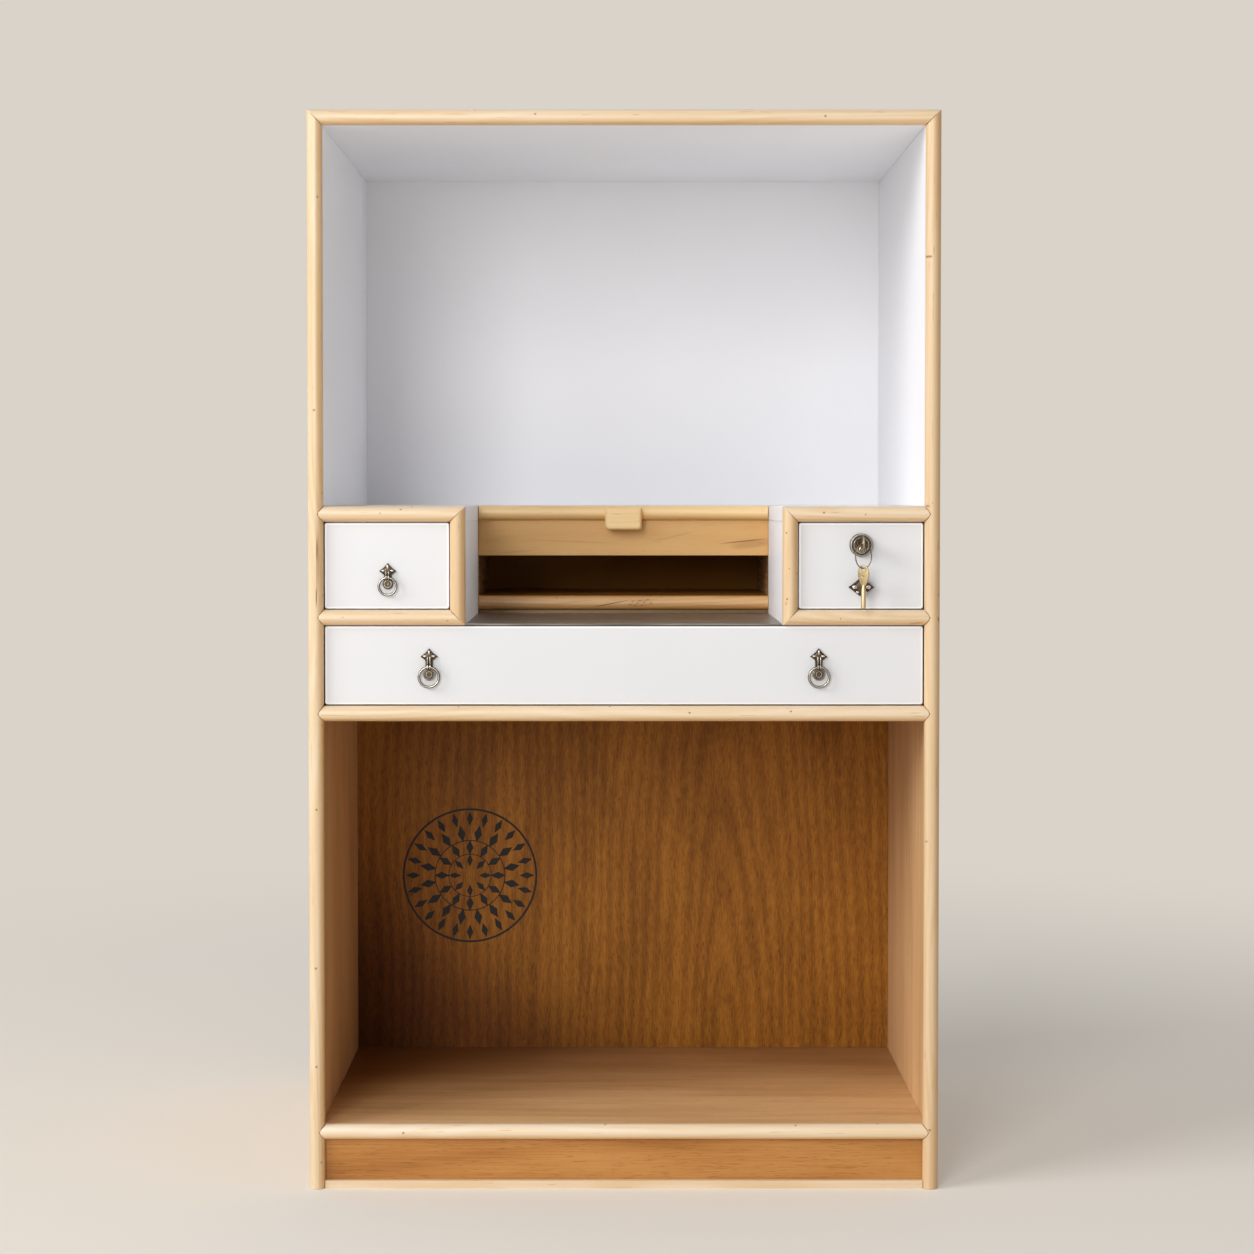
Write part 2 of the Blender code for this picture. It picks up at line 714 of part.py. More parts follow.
def bow_mesh():
    """The flat bow of a key, upright in XZ on its pointed base, with an eyelet at its
    round end and a pin hole. Its half width follows t * sqrt(1 - t), which is widest at
    two thirds of its length."""
    fullest = 2 / 3 * math.sqrt(1 / 3)
    side = []
    for step in range(BOW_STEPS + 1):
        t = 1 - (1 - step / BOW_STEPS) ** 2
        wide = BOW_WIDTH / 2 * t * math.sqrt(1 - t) / fullest
        side.append((wide, BOW_LENGTH * t))
    outline = side + [(-x, z) for x, z in reversed(side[1:-1])]
    curve = bpy.data.curves.new("bow", "CURVE")
    curve.dimensions = "2D"
    curve.fill_mode = "BOTH"
    curve.extrude = BOW_THICKNESS / 2
    holes = [
        (EYELET, eyelet_reach, EYELET_SIDES),
        (PIN_HOLE, PIN_HOLE_RISE, PIN_HOLE_SIDES),
    ]
    loops = [outline]
    for radius, height, count in holes:
        turns = [math.tau * k / count for k in range(count)]
        loops.append([(radius * math.cos(a), height + radius * math.sin(a)) for a in turns])
    for loop in loops:
        spline = curve.splines.new("POLY")
        spline.points.add(len(loop) - 1)
        for point, (x, z) in zip(spline.points, loop):
            point.co = (x, z, 0, 1)
        spline.use_cyclic_u = True
    source = bpy.data.objects.new("bow", curve)
    CUTTERS.objects.link(source)
    bpy.context.view_layer.update()
    evaluated = source.evaluated_get(bpy.context.evaluated_depsgraph_get())
    mesh = bpy.data.meshes.new_from_object(evaluated)
    bm = bmesh.new()
    bm.from_mesh(mesh)
    bmesh.ops.remove_doubles(bm, verts=bm.verts, dist=WELD)
    bmesh.ops.transform(bm, matrix=TURN["Y"], verts=bm.verts)
    bpy.data.objects.remove(source, do_unlink=True)
    return bm


def lock(mover, front):
    """Rosette, barrel and case in one housing, a plug with its key, and the bolt. A pin on
    the plug's end lifts the bolt through a cross slot as the key makes a quarter turn."""
    place = (small_middle, FRONT_INSET, key_height)
    inner = FRONT + SEAM
    bm = bmesh.new()
    high = BOLT_ABOVE + SEAM
    add_box(bm, (-CASE_HALF_WIDTH, CASE_HALF_WIDTH), (inner, case_rear), (-CASE_BELOW, high))
    housing = piece("lock_housing", mesh_from(bm, "lock_housing"), NICKEL, mover, place)
    centre = (0, 0, -ROSETTE_DROP)
    rod_join(housing, "rosette", "Y", -ROSETTE_THICKNESS, -SEAM, centre, ROSETTE, housing)
    rim = (-ROSETTE_RIM_THICKNESS, -SEAM - SINK)
    rod_join(housing, "rosette_rim", "Y", *rim, centre, ROSETTE_RIM, housing)
    barrel = (-SEAM - SINK, inner + SINK)
    rod_join(housing, "barrel", "Y", *barrel, centre, BARREL, housing)
    bore = PLUG + PLUG_PLAY
    cavity = (bolt_front - BOLT_PLAY, bolt_rear + BOLT_PLAY)
    rod_cut(housing, "plug_bore", "Y", -OVERRUN, cavity[0] + SEAM, (0, 0, 0), bore, housing)
    x = (-BOLT_LEFT - BOLT_PLAY, BOLT_RIGHT + BOLT_PLAY)
    z = (-BOLT_BELOW - BOLT_PLAY, BOLT_ABOVE + OVERRUN)
    box_cut(housing, "bolt_cavity", x, cavity, z, housing)
    way = (small_middle, 0, key_height - ROSETTE_DROP)
    ends = (-OVERRUN, OVERRUN)
    rod_cut(front, "barrel_way", "Y", *ends, way, BARREL + BARREL_PLAY, mover)

    plug_end = bolt_front - BOLT_PLAY - SEAM
    bm = bmesh.new()
    add_rod(bm, "Y", -PLUG_PROUD, plug_end, (0, 0, 0), PLUG)
    mesh = mesh_from(bm, "key_in_lock")
    key = piece("key_in_lock", mesh, BRASS, mover, place, smooth=True)
    base = -PLUG_PROUD - BOW_STANDOFF
    bm = bow_mesh()
    lay = Matrix.Rotation(math.pi / 2, 4, "Y") @ Matrix.Rotation(math.pi / 2, 4, "X")
    bmesh.ops.transform(bm, matrix=Matrix.Translation((0, base, 0)) @ lay, verts=bm.verts)
    join(key, bm, "lock_key_bow", key)
    root = (base - SHANK_GRIP, SINK - PLUG_PROUD)
    rod_join(key, "lock_key_shank", "Y", *root, (0, 0, 0), SHANK, key, SMALL_SIDES)
    half = drive_radius * math.sqrt(0.5)
    drive = (plug_end - SINK, bolt_rear)
    rod_join(key, "drive_pin", "Y", *drive, (-half, 0, -half), DRIVE_PIN, key, SMALL_SIDES)

    bm = bmesh.new()
    y = (bolt_front, bolt_rear)
    add_box(bm, (-BOLT_LEFT, BOLT_RIGHT), y, (-BOLT_BELOW, BOLT_ABOVE))
    bolt = piece("lock_bolt", mesh_from(bm, "lock_bolt"), STEEL, mover, place)
    gap = DRIVE_PIN + DRIVE_PIN_PLAY
    x = (-drive_radius - gap, gap - half)
    box_cut(bolt, "bolt_slot", x, (0, OVERRUN), (-half - gap, gap - half), bolt)


def keys(mover):
    """The wire loop through the eyelet of the key in the lock, and the spare key on it."""
    plane = FRONT_INSET - PLUG_PROUD - BOW_STANDOFF - eyelet_reach
    hang = EYELET - LOOP_WIRE - LOOP_SEAT
    curve = bpy.data.curves.new("key_loop", "CURVE")
    curve.dimensions = "3D"
    curve.bevel_depth = LOOP_WIRE
    curve.bevel_resolution = 2
    spline = curve.splines.new("POLY")
    spline.points.add(RING_STEPS - 1)
    for step, point in enumerate(spline.points):
        angle = math.tau * step / RING_STEPS
        drop = hang + LOOP_HALF_HEIGHT * (1 - math.cos(angle))
        point.co = (LOOP_HALF_WIDTH * math.sin(angle), 0, -drop, 1)
    spline.use_cyclic_u = True
    loop = bpy.data.objects.new("key_loop", curve)
    curve.materials.append(NICKEL)
    loop.parent = mover
    loop.location = (small_middle, plane, key_height)
    PARTS.objects.link(loop)

    bottom = key_height - hang - 2 * LOOP_HALF_HEIGHT
    lift = -SPARE_HANG - eyelet_reach
    turn = Matrix.Rotation(-SPARE_TURN, 4, "Z")
    bm = bow_mesh()
    bmesh.ops.transform(bm, matrix=turn @ Matrix.Translation((0, 0, lift)), verts=bm.verts)
    mesh = mesh_from(bm, "spare_key")
    place = (small_middle, plane, bottom)
    spare = piece("spare_key", mesh, BRASS, mover, place, smooth=True)
    shank = (lift - SHANK_LENGTH, lift + SHANK_GRIP)
    rod_join(spare, "spare_key_shank", "Z", *shank, (0, 0, 0), SHANK, spare, SMALL_SIDES)


carcass()
plinth()
alcove()
deck()
middle_belt()
mouldings()
slide()

small_opening = (middle_top, deck_bottom)
wide_opening = (bay_top, middle_bottom)
left_span = (-trim_inner, -divider_outer)
right_span = (divider_outer, trim_inner)
wide_span = (-trim_inner, trim_inner)
left_set, left_front = drawer("left", left_span, small_opening, SMALL_SIDE_HEIGHT)
right_set, right_front = drawer("right", right_span, small_opening, SMALL_SIDE_HEIGHT)
wide_set, wide_front = drawer("wide", wide_span, wide_opening, WIDE_SIDE_HEIGHT)

small_pull = (SMALL_PULL_INWARD - small_middle, middle_top + SMALL_PULL_HEIGHT)
small_size = (SMALL_RING, SMALL_RING_WIRE, SMALL_BOSS, SMALL_DOME, SMALL_LOZENGE_RISE)
ring_pull("small_pull", small_pull, left_set, left_front, *small_size)
wide_size = (WIDE_RING, WIDE_RING_WIRE, WIDE_BOSS, WIDE_DOME, WIDE_LOZENGE_RISE)
for side_name, direction in SIDES.items():
    spot = (direction * WIDE_PULL_OUT, bay_top + WIDE_PULL_HEIGHT)
    ring_pull(f"wide_pull_{side_name}", spot, wide_set, wide_front, *wide_size)

lock(right_set, right_front)
keys(right_set)
knob(right_set, right_front)
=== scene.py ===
# %% [markdown]
# # A three-drawer display table, from bare joinery to a studio portrait
#
# The real piece is a tall cabinet: a white alcove on top, a belt of three drawers in the
# middle, and an open brown shelf below, all edged with half-round pine. The CAD model brings
# every board at its exact place, so this lesson only dresses it: finishes for the boards,
# finely rounded mouldings, and cast and bent metal for the hardware.
#
# Everything is in metres and shares the CAD's space, so a new piece goes where its board is.

import math

import bmesh
import bpy
from mathutils import Matrix, Vector


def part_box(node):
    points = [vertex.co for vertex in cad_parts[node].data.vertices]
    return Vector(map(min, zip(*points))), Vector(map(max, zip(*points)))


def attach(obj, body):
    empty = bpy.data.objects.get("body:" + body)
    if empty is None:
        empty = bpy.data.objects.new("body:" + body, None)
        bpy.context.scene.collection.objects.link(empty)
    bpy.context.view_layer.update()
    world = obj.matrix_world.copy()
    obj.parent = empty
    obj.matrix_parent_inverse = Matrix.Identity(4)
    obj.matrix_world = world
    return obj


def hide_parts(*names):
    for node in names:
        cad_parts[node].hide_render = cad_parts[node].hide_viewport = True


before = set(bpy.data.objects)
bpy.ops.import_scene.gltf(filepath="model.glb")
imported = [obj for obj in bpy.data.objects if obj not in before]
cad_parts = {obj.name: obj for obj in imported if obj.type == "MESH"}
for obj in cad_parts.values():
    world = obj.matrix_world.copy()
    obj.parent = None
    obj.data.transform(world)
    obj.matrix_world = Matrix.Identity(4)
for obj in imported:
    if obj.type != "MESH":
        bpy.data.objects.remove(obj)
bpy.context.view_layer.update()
scene = bpy.context.scene
MM = 0.001
print("boards and fittings in the CAD model:", len(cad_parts))

# %% [markdown]
# ## The camera
#
# The portrait was taken from the front with a long lens, a little above the middle of the
# cabinet. The lens is shifted, as on an architect's camera, by as much as the picture's
# vanishing point lies off its middle, in picture points, and the camera looks down a little.
# Perspective fixes only the ratio of the cabinet's depth to the camera's distance, so the
# distance here goes with the depth that was assumed for the cabinet.

# %% Camera
PICTURE = 1254
FOCAL_POINTS = 2475
VANISHING_POINT = (616, 565)
SENSOR = 36
FRONT = -229.35 * MM
CAMERA_SIDE, CAMERA_DISTANCE, CAMERA_HEIGHT = -0.0087, 2.702, 0.758
LOOKS_DOWN = 1.55

camera = bpy.data.objects.new("camera", bpy.data.cameras.new("camera"))
camera.location = (CAMERA_SIDE, FRONT - CAMERA_DISTANCE, CAMERA_HEIGHT)
camera.rotation_euler = (math.radians(90 - LOOKS_DOWN), 0, 0)
camera.data.lens = SENSOR * FOCAL_POINTS / PICTURE
camera.data.shift_x = (PICTURE / 2 - VANISHING_POINT[0]) / PICTURE
camera.data.shift_y = (VANISHING_POINT[1] - PICTURE / 2) / PICTURE
scene.collection.objects.link(camera)
scene.camera = camera
print("lens", round(camera.data.lens, 1), "mm")

# %% [markdown]
# ## Colours and nodes
#
# Colours are written as the hex values a painter would pick on a screen. Blender mixes light
# in linear numbers, so one function turns the first into the second. A second small function
# adds a node, sets its options and plugs in what it is given; a whole node stands for its
# first output.

# %% Colour and node helpers
def linear(colour):
    """A screen colour such as #d8ae7c as linear red, green, blue and alpha."""
    screen = [int(colour[i : i + 2], 16) / 255 for i in (1, 3, 5)]
    light = [c / 12.92 if c <= 0.04045 else ((c + 0.055) / 1.055) ** 2.4 for c in screen]
    return (*light, 1.0)


def add(tree, kind, inputs=None, stops=None, **settings):
    """Adds a node with its settings, inputs and, on a colour ramp, its stops."""
    node = tree.nodes.new(kind)
    for name, value in settings.items():
        setattr(node, name, value)
    for key, value in (inputs or {}).items():
        if isinstance(value, bpy.types.Node):
            value = value.outputs[0]
        if isinstance(value, bpy.types.NodeSocket):
            tree.links.new(value, node.inputs[key])
        else:
            node.inputs[key].default_value = value
    if stops:
        points = node.color_ramp.elements
        points[0].position, points[1].position = stops[0][0], stops[-1][0]
        for place, _ in stops[1:-1]:
            points.new(place)
        for point, (_, colour) in zip(points, stops):
            point.color = linear(colour)
    return node


# %% [markdown]
# ## The studio
#
# A photographer's paper sweep hides the line between floor and wall. Here the floor takes the
# shadow near the cabinet and fades, with distance, to the very colour that the world shows to
# the camera, so no horizon is seen from any side. Other rays get the plain pale light of a
# white room, stronger from the ceiling than from the ground.

# %% Floor and world
BACKDROP = "#dad3ca"
FLOOR_PAPER = "#f6f1e7"
ROOM_LIGHT = "#f4f4f6"
WALLS, CEILING = 0.29, 0.51
FADE_START, FADE_END = 0.75, 2.4
LEAST_FLAT = 0.22
FLOOR_RADIUS = 14


def seen_directly(tree):
    """1 for rays that show the picture itself: from the camera, in gloss or through glass."""
    path = add(tree, "ShaderNodeLightPath").outputs
    gloss = add(
        tree,
        "ShaderNodeMath",
        {0: path["Is Camera Ray"], 1: path["Is Glossy Ray"]},
        operation="MAXIMUM",
    )
    return add(
        tree, "ShaderNodeMath", {0: gloss, 1: path["Is Transmission Ray"]}, operation="MAXIMUM"
    )


scene.view_settings.view_transform = "Standard"
world = bpy.data.worlds.new("studio")
scene.world = world
world.use_nodes = True
tree = world.node_tree
tree.nodes.clear()
way = add(tree, "ShaderNodeTexCoord").outputs["Generated"]
up = add(tree, "ShaderNodeSeparateXYZ", {0: way}).outputs["Z"]
heights = {"Value": up, "To Min": WALLS, "To Max": CEILING}
room = add(tree, "ShaderNodeMapRange", heights, clamp=False)
ambient = add(tree, "ShaderNodeBackground", {"Color": linear(ROOM_LIGHT), "Strength": room})
backdrop = add(tree, "ShaderNodeBackground", {"Color": linear(BACKDROP), "Strength": 1.0})
either = add(tree, "ShaderNodeMixShader", {0: seen_directly(tree), 1: ambient, 2: backdrop})
add(tree, "ShaderNodeOutputWorld", {0: either})

paper = bpy.data.materials.new("paper_sweep")
paper.use_nodes = True
tree = paper.node_tree
tree.nodes.clear()
position = add(tree, "ShaderNodeNewGeometry").outputs["Position"]
away = add(tree, "ShaderNodeVectorMath", {0: position}, operation="LENGTH").outputs["Value"]
fade = add(
    tree,
    "ShaderNodeMapRange",
    {"Value": away, "From Min": FADE_START, "From Max": FADE_END, "To Min": LEAST_FLAT},
    interpolation_type="SMOOTHSTEP",
)
share = add(tree, "ShaderNodeMath", {0: seen_directly(tree), 1: fade}, operation="MULTIPLY")
matt = add(tree, "ShaderNodeBsdfDiffuse", {"Color": linear(FLOOR_PAPER)})
flat = add(tree, "ShaderNodeEmission", {"Color": linear(BACKDROP), "Strength": 1.0})
sweep = add(tree, "ShaderNodeMixShader", {0: share, 1: matt, 2: flat})
add(tree, "ShaderNodeOutputMaterial", {0: sweep})

bpy.ops.mesh.primitive_circle_add(vertices=96, radius=FLOOR_RADIUS, fill_type="NGON")
floor = bpy.context.object
floor.name = "floor"
floor.data.materials.append(paper)
print("studio floor", floor.dimensions.x, "m across")

# %% [markdown]
# Two large soft windows of light. The first stands almost in front, a little to the left, and
# lights the fronts and the alcove's back. The second is far to the left and higher: it
# leaves the inside left walls in shade, lights the right ones ever less towards the back,
# rounds the mouldings, and draws a soft shadow on the floor. Their places and strengths were
# fitted by comparing renders with the photograph.

# %% Lamps
AIM = Vector((0, FRONT, 0.62))


def window_light(name, turn, height, reach, wide, high, watts):
    """A soft lamp seen from the cabinet at turn degrees to the left and height degrees up."""
    lamp = bpy.data.lights.new(name, "AREA")
    lamp.shape = "RECTANGLE"
    lamp.size, lamp.size_y = wide, high
    lamp.energy = watts
    stand = bpy.data.objects.new(name, lamp)
    side, up = math.radians(turn), math.radians(height)
    way = Vector((-math.sin(side) * math.cos(up), -math.cos(side) * math.cos(up), math.sin(up)))
    stand.location = AIM + reach * way
    stand.rotation_euler = (-way).to_track_quat("-Z", "Y").to_euler()
    scene.collection.objects.link(stand)
    print(name, "at", [round(c, 2) for c in stand.location])


window_light("front_window", 18, 18, 4.2, 1.35, 2.1, 71)
window_light("side_window", 63, 24, 8.0, 4.0, 3.0, 350)

# %% [markdown]
# ## Patterns to a real size
#
# Procedural patterns have no size of their own. Each material here first turns the piece's
# own coordinates into millimetres, and each pattern is then stretched to sizes measured on
# the real surface.

# %% Pattern helpers
def millimetres(tree, order="XYZ", tilt=(0, 0, 0)):
    """The piece's own coordinates in millimetres, its axes put in the order asked for."""
    here = add(tree, "ShaderNodeTexCoord").outputs["Object"]
    scaled = add(tree, "ShaderNodeMapping", {"Vector": here, "Rotation": tilt, "Scale": (1000,) * 3})
    split = add(tree, "ShaderNodeSeparateXYZ", {0: scaled})
    return add(tree, "ShaderNodeCombineXYZ", {i: split.outputs[c] for i, c in enumerate(order)})


def clouds(tree, space, size, low, high, detail=2.0, window=(0.3, 0.7)):
    """Soft patches of about size millimetres along the three axes, from low to high."""
    stretched = add(
        tree, "ShaderNodeVectorMath", {0: space, 1: [1 / s for s in size]}, operation="MULTIPLY"
    )
    noise = add(tree, "ShaderNodeTexNoise", {"Vector": stretched, "Scale": 1.0, "Detail": detail})
    return add(
        tree,
        "ShaderNodeMapRange",
        {"Value": noise, "From Min": window[0], "From Max": window[1], "To Min": low, "To Max": high},
        interpolation_type="SMOOTHSTEP",
    )


def total(tree, *values):
    """The sum of several numbers."""
    so_far = values[0]
    for value in values[1:]:
        so_far = add(tree, "ShaderNodeMath", {0: so_far, 1: value}, operation="ADD")
    return so_far


def tint(tree, share, colour, under, blend="MULTIPLY"):
    """Lays a colour over another, as strongly as share says."""
    mixed = add(
        tree, "ShaderNodeMix", {0: share, 6: under, 7: colour}, data_type="RGBA", blend_type=blend
    )
    return mixed.outputs[2]


def start(name, roughness, **plain):
    """A new material with its tree and its shader; plain numbers go on the shader itself."""
    made = bpy.data.materials.new(name)
    made.use_nodes = True
    shader = made.node_tree.nodes["Principled BSDF"]
    shader.inputs["Roughness"].default_value = roughness
    for socket, value in plain.items():
        shader.inputs[socket.replace("_", " ")].default_value = value
    return made, made.node_tree, shader


# %% [markdown]
# ## Wood
#
# A tree grows in rings round its pith, so wood is best thought of as nested tubes that a saw
# cuts through. The distance from a pith line, bent a little by noise, gives growth rings;
# noise stretched far along the grain gives fibres; short dark dashes are pores. The third
# coordinate always runs along the grain, whichever way the board lies.

# %% Wood, built up from rings, fibres and pores
GRAIN = {"X": "YZX", "Y": "XZY", "Z": "XYZ"}


def wood(
    name, along, stops, pith, ring, bend, rings, fibres, patches, pores, rough,
    tilt=(0, 0, 0), **gloss,
):
    """A timber. pith is where the tree's middle lies across the grain, ring the width of a
    year's growth and bend how far it wanders, in millimetres; rings, fibres and patches say
    how strongly each one shows, and pores how dark they are."""
    made, tree, shader = start(name, rough, **({"IOR": 1.40} | gloss))
    space = millimetres(tree, GRAIN[along], tilt)
    wander = clouds(tree, space, (70, 70, 420), -bend, bend, detail=1.5)
    across = add(
        tree, "ShaderNodeVectorMath", {0: space, 1: (1, 1, 0)}, operation="MULTIPLY"
    )
    from_pith = add(
        tree, "ShaderNodeVectorMath", {0: across, 1: (*pith, 0)}, operation="DISTANCE"
    ).outputs["Value"]
    grown = total(tree, from_pith, wander)
    year = add(tree, "ShaderNodeMath", {0: grown, 1: ring}, operation="PINGPONG")
    shade = add(
        tree,
        "ShaderNodeMapRange",
        {"Value": year, "From Min": 0.0, "From Max": ring, "To Min": -rings, "To Max": rings},
        interpolation_type="SMOOTHERSTEP",
    )
    fibre = clouds(tree, space, (1.6, 1.6, 90), -fibres, fibres, detail=4)
    patch = clouds(tree, space, (45, 45, 260), -patches, patches, detail=2)
    tone = total(tree, 0.5, shade, fibre, patch)
    colour = add(tree, "ShaderNodeValToRGB", {0: tone}, stops=stops).outputs[0]
    pore = clouds(tree, space, (1.1, 1.1, 16), 0, pores, detail=1, window=(0.60, 0.70))
    colour = tint(tree, pore, linear(stops[0][1]), colour)
    relief = add(tree, "ShaderNodeMath", {0: fibre, 1: pore}, operation="SUBTRACT")
    grain = add(
        tree, "ShaderNodeBump", {"Strength": 0.25, "Distance": 0.2 * MM, "Height": relief}
    )
    tree.links.new(grain.outputs[0], shader.inputs["Normal"])
    tree.links.new(colour, shader.inputs["Base Color"])
    return made, tree, shader, space, colour


# %% [markdown]
# The mouldings are pine under a clear varnish: almost white sapwood with honey streaks, and
# now and then a pin knot, a branch no thicker than a match. Knots are the middles of the
# cells that a Voronoi pattern draws, 60 mm apart. The marks that one remembers, such as the
# resin streak in the left post, are soft ovals, placed one by one after the photograph.
#
# The right and lower flanks take a honey tint, which is painted shade on the flanks that turn
# away from the light. Some mouldings have colour stops of their own: lighter copies of the pine,
# which are painted light, and darker ones, which are painted shade. These tones were fitted by
# comparing the photograph with renders, so they look less true in another light.

# %% Varnished pine
PINE_STOPS = [(0.0, "#c4955f"), (0.35, "#dfc298"), (0.6, "#e6ceae"), (1.0, "#eddcc4")]
# PALE_STOPS and WARM_STOPS are lighter copies of the pine, which is painted light; DEEP_STOPS and
# HONEY_STOPS are darker copies, which is painted shade.
PALE_STOPS = [(0.0, "#cda06c"), (0.35, "#ead0a8"), (0.6, "#f1dcbf"), (1.0, "#f6e8d4")]
DEEP_STOPS = [(0.0, "#bd8d55"), (0.35, "#d5b184"), (0.6, "#dbbe96"), (1.0, "#e2ccab")]
WARM_STOPS = [(0.0, "#d9a566"), (0.35, "#f1cb91"), (0.6, "#f7d59d"), (1.0, "#fbe2b6")]
HONEY_STOPS = [(0.0, "#a87038"), (0.35, "#cf9c60"), (0.65, "#dcb079"), (1.0, "#e9c590")]
KNOT_SPACING = 60
KNOT_RADIUS = 0.9
FLANK_SHADE_COLOUR, STREAK, PIN_KNOT = "#efd6ac", "#b9854e", "#7a4a26"


def marked(tree, colour, marks):
    """Draws ovals on a colour: x and z of the middle, half sizes, lean, share and colour."""
    place = millimetres(tree)
    for x, z, half_x, half_z, lean, share, mark in marks:
        oval = add(
            tree,
            "ShaderNodeMapping",
            {
                "Vector": place,
                "Location": (x, 0, z),
                "Rotation": (0, math.radians(-lean), 0),
                "Scale": (half_x, 1e5, half_z),
            },
            vector_type="TEXTURE",
        )
        far = add(tree, "ShaderNodeVectorMath", {0: oval}, operation="LENGTH").outputs["Value"]
        soft = add(
            tree,
            "ShaderNodeMapRange",
            {"Value": far, "From Min": 0.5, "From Max": 1.1, "To Min": share, "To Max": 0.0},
        )
        colour = tint(tree, soft, linear(mark), colour, "MIX")
    return colour


def pine(name, along, pith, stops=PINE_STOPS, marks=(), rings=0.08, patches=0.10):
    """Varnished pine with pin knots, streaks, its own marks and a flank tint of painted shade.
    Varnished pine with pin knots, streaks, its own marks and the fitted flank tint.
    """
    made, tree, shader, space, colour = wood(
        name, along, stops, pith, ring=3.2, bend=9, rings=rings, fibres=0.06, patches=patches,
        pores=0.0, rough=0.40, IOR=1.5, Coat_Weight=0.4, Coat_Roughness=0.35,
    )
    # Painted shade: the right and lower flanks, which turn away from the light, take a darker honey tint.
    facing = add(tree, "ShaderNodeTexCoord").outputs["Normal"]
    flank = add(tree, "ShaderNodeSeparateXYZ", {0: facing}).outputs
    right_and_down = add(
        tree, "ShaderNodeMath", {0: flank["X"], 1: flank["Z"]}, operation="SUBTRACT"
    )
    flank_shade = add(
        tree,
        "ShaderNodeMapRange",
        {"Value": right_and_down, "From Min": 0.1, "From Max": 0.8, "To Max": 0.8},
    )
    colour = tint(tree, flank_shade, linear(FLANK_SHADE_COLOUR), colour)
    split = add(tree, "ShaderNodeSeparateXYZ", {0: space})
    side = total(tree, split.outputs[0], split.outputs[1])
    sheet = add(tree, "ShaderNodeCombineXYZ", {0: side, 1: split.outputs[2]})
    knots = add(
        tree,
        "ShaderNodeTexVoronoi",
        {"Vector": sheet, "Scale": 1 / KNOT_SPACING},
        voronoi_dimensions="2D",
    )
    spot = add(
        tree,
        "ShaderNodeMapRange",
        {
            "Value": knots,
            "From Min": KNOT_RADIUS / 2 / KNOT_SPACING,
            "From Max": 2 * KNOT_RADIUS / KNOT_SPACING,
            "To Min": 0.85,
            "To Max": 0.0,
        },
    )
    streak = clouds(tree, space, (1.5, 1.5, 34), 0, 0.55, detail=1, window=(0.70, 0.80))
    colour = tint(tree, streak, linear(STREAK), colour)
    colour = tint(tree, spot, linear(PIN_KNOT), colour, "MIX")
    colour = marked(tree, colour, marks)
    tree.links.new(colour, shader.inputs["Base Color"])
    return made


RESIN, KNOT, BROWN_KNOT = "#8a5f36", "#5c3a1c", "#a8703c"
UPRIGHT_MARKS = [
    (-334.5, 683, 0.45, 44, 0, 0.7, RESIN),
    (-334.3, 701, 0.8, 14, 0, 0.8, KNOT),
    (-335.2, 650, 0.7, 12, 0, 0.8, KNOT),
    (-333.2, 690, 1.2, 36, 0, 0.35, RESIN),
    (342.8, 626, 0.9, 3.2, 0, 0.8, KNOT),
    (342.4, 706, 0.7, 7, 0, 0.5, BROWN_KNOT),
    (335.7, 752.5, 0.7, 0.7, 0, 0.8, KNOT),
    (176.9, 720, 0.9, 1.1, 0, 0.9, KNOT),
    (180, 681, 0.7, 0.8, 0, 0.8, KNOT),
    (177.8, 648, 1.0, 1.4, 0, 0.8, KNOT),
    (176.8, 643, 1.1, 2.4, 0, 0.5, BROWN_KNOT),
]
LEVEL_MARKS = [
    (-265.6, 741.6, 0.8, 0.8, 0, 0.9, KNOT),
    (-306.4, 628, 0.7, 0.7, 0, 0.9, KNOT),
    (-192.4, 624.2, 1.5, 0.8, 0, 0.8, BROWN_KNOT),
    (318, 621.5, 11, 1.5, 8, 0.5, BROWN_KNOT),
    (263, 740, 0.8, 1.0, 0, 0.8, KNOT),
    (236, 626.5, 0.8, 0.8, 0, 0.8, KNOT),
]
UNIT_MARKS = [
    (-14, 632.5, 25, 0.8, 11, 0.75, KNOT),
    (24, 636.5, 16, 0.5, 2, 0.5, KNOT),
    (20, 632, 17, 6, 4, 0.22, BROWN_KNOT),
    (-62, 634, 22, 1.6, 6, 0.25, BROWN_KNOT),
    (101, 630, 26, 1.2, -3, 0.25, BROWN_KNOT),
]
SPRAY = [
    (8, 631), (11, 635), (14, 630), (17, 633), (20, 636), (22, 630), (25, 634), (29, 637),
    (33, 633),
]
UNIT_MARKS += [(x, z, 1.7, 0.8, 25, 0.7, KNOT) for x, z in SPRAY]

# The right post, the notch posts and the pigeonhole rail take darker copies, painted shade; the floor
# rail, the pull-out rail and its tab take lighter copies, painted light.
pine_upright = pine("varnished_pine_upright", "Z", (40, 60), marks=UPRIGHT_MARKS)
deep_pine = pine("deeper_pine_upright", "Z", (60, 30), DEEP_STOPS, UPRIGHT_MARKS)
pine_level = pine("varnished_pine_level", "X", (90, 20), marks=LEVEL_MARKS)
pale_pine = pine("pale_pine_level", "X", (30, 50), PALE_STOPS)
honey_pine = pine("honey_pine_level", "X", (70, 30), HONEY_STOPS, UNIT_MARKS)
warm_pine = pine("warm_pine_level", "X", (120, 60), WARM_STOPS, rings=0.04)
print("pine knots about", KNOT_SPACING, "mm apart, and", len(UNIT_MARKS), "marks on one rail")
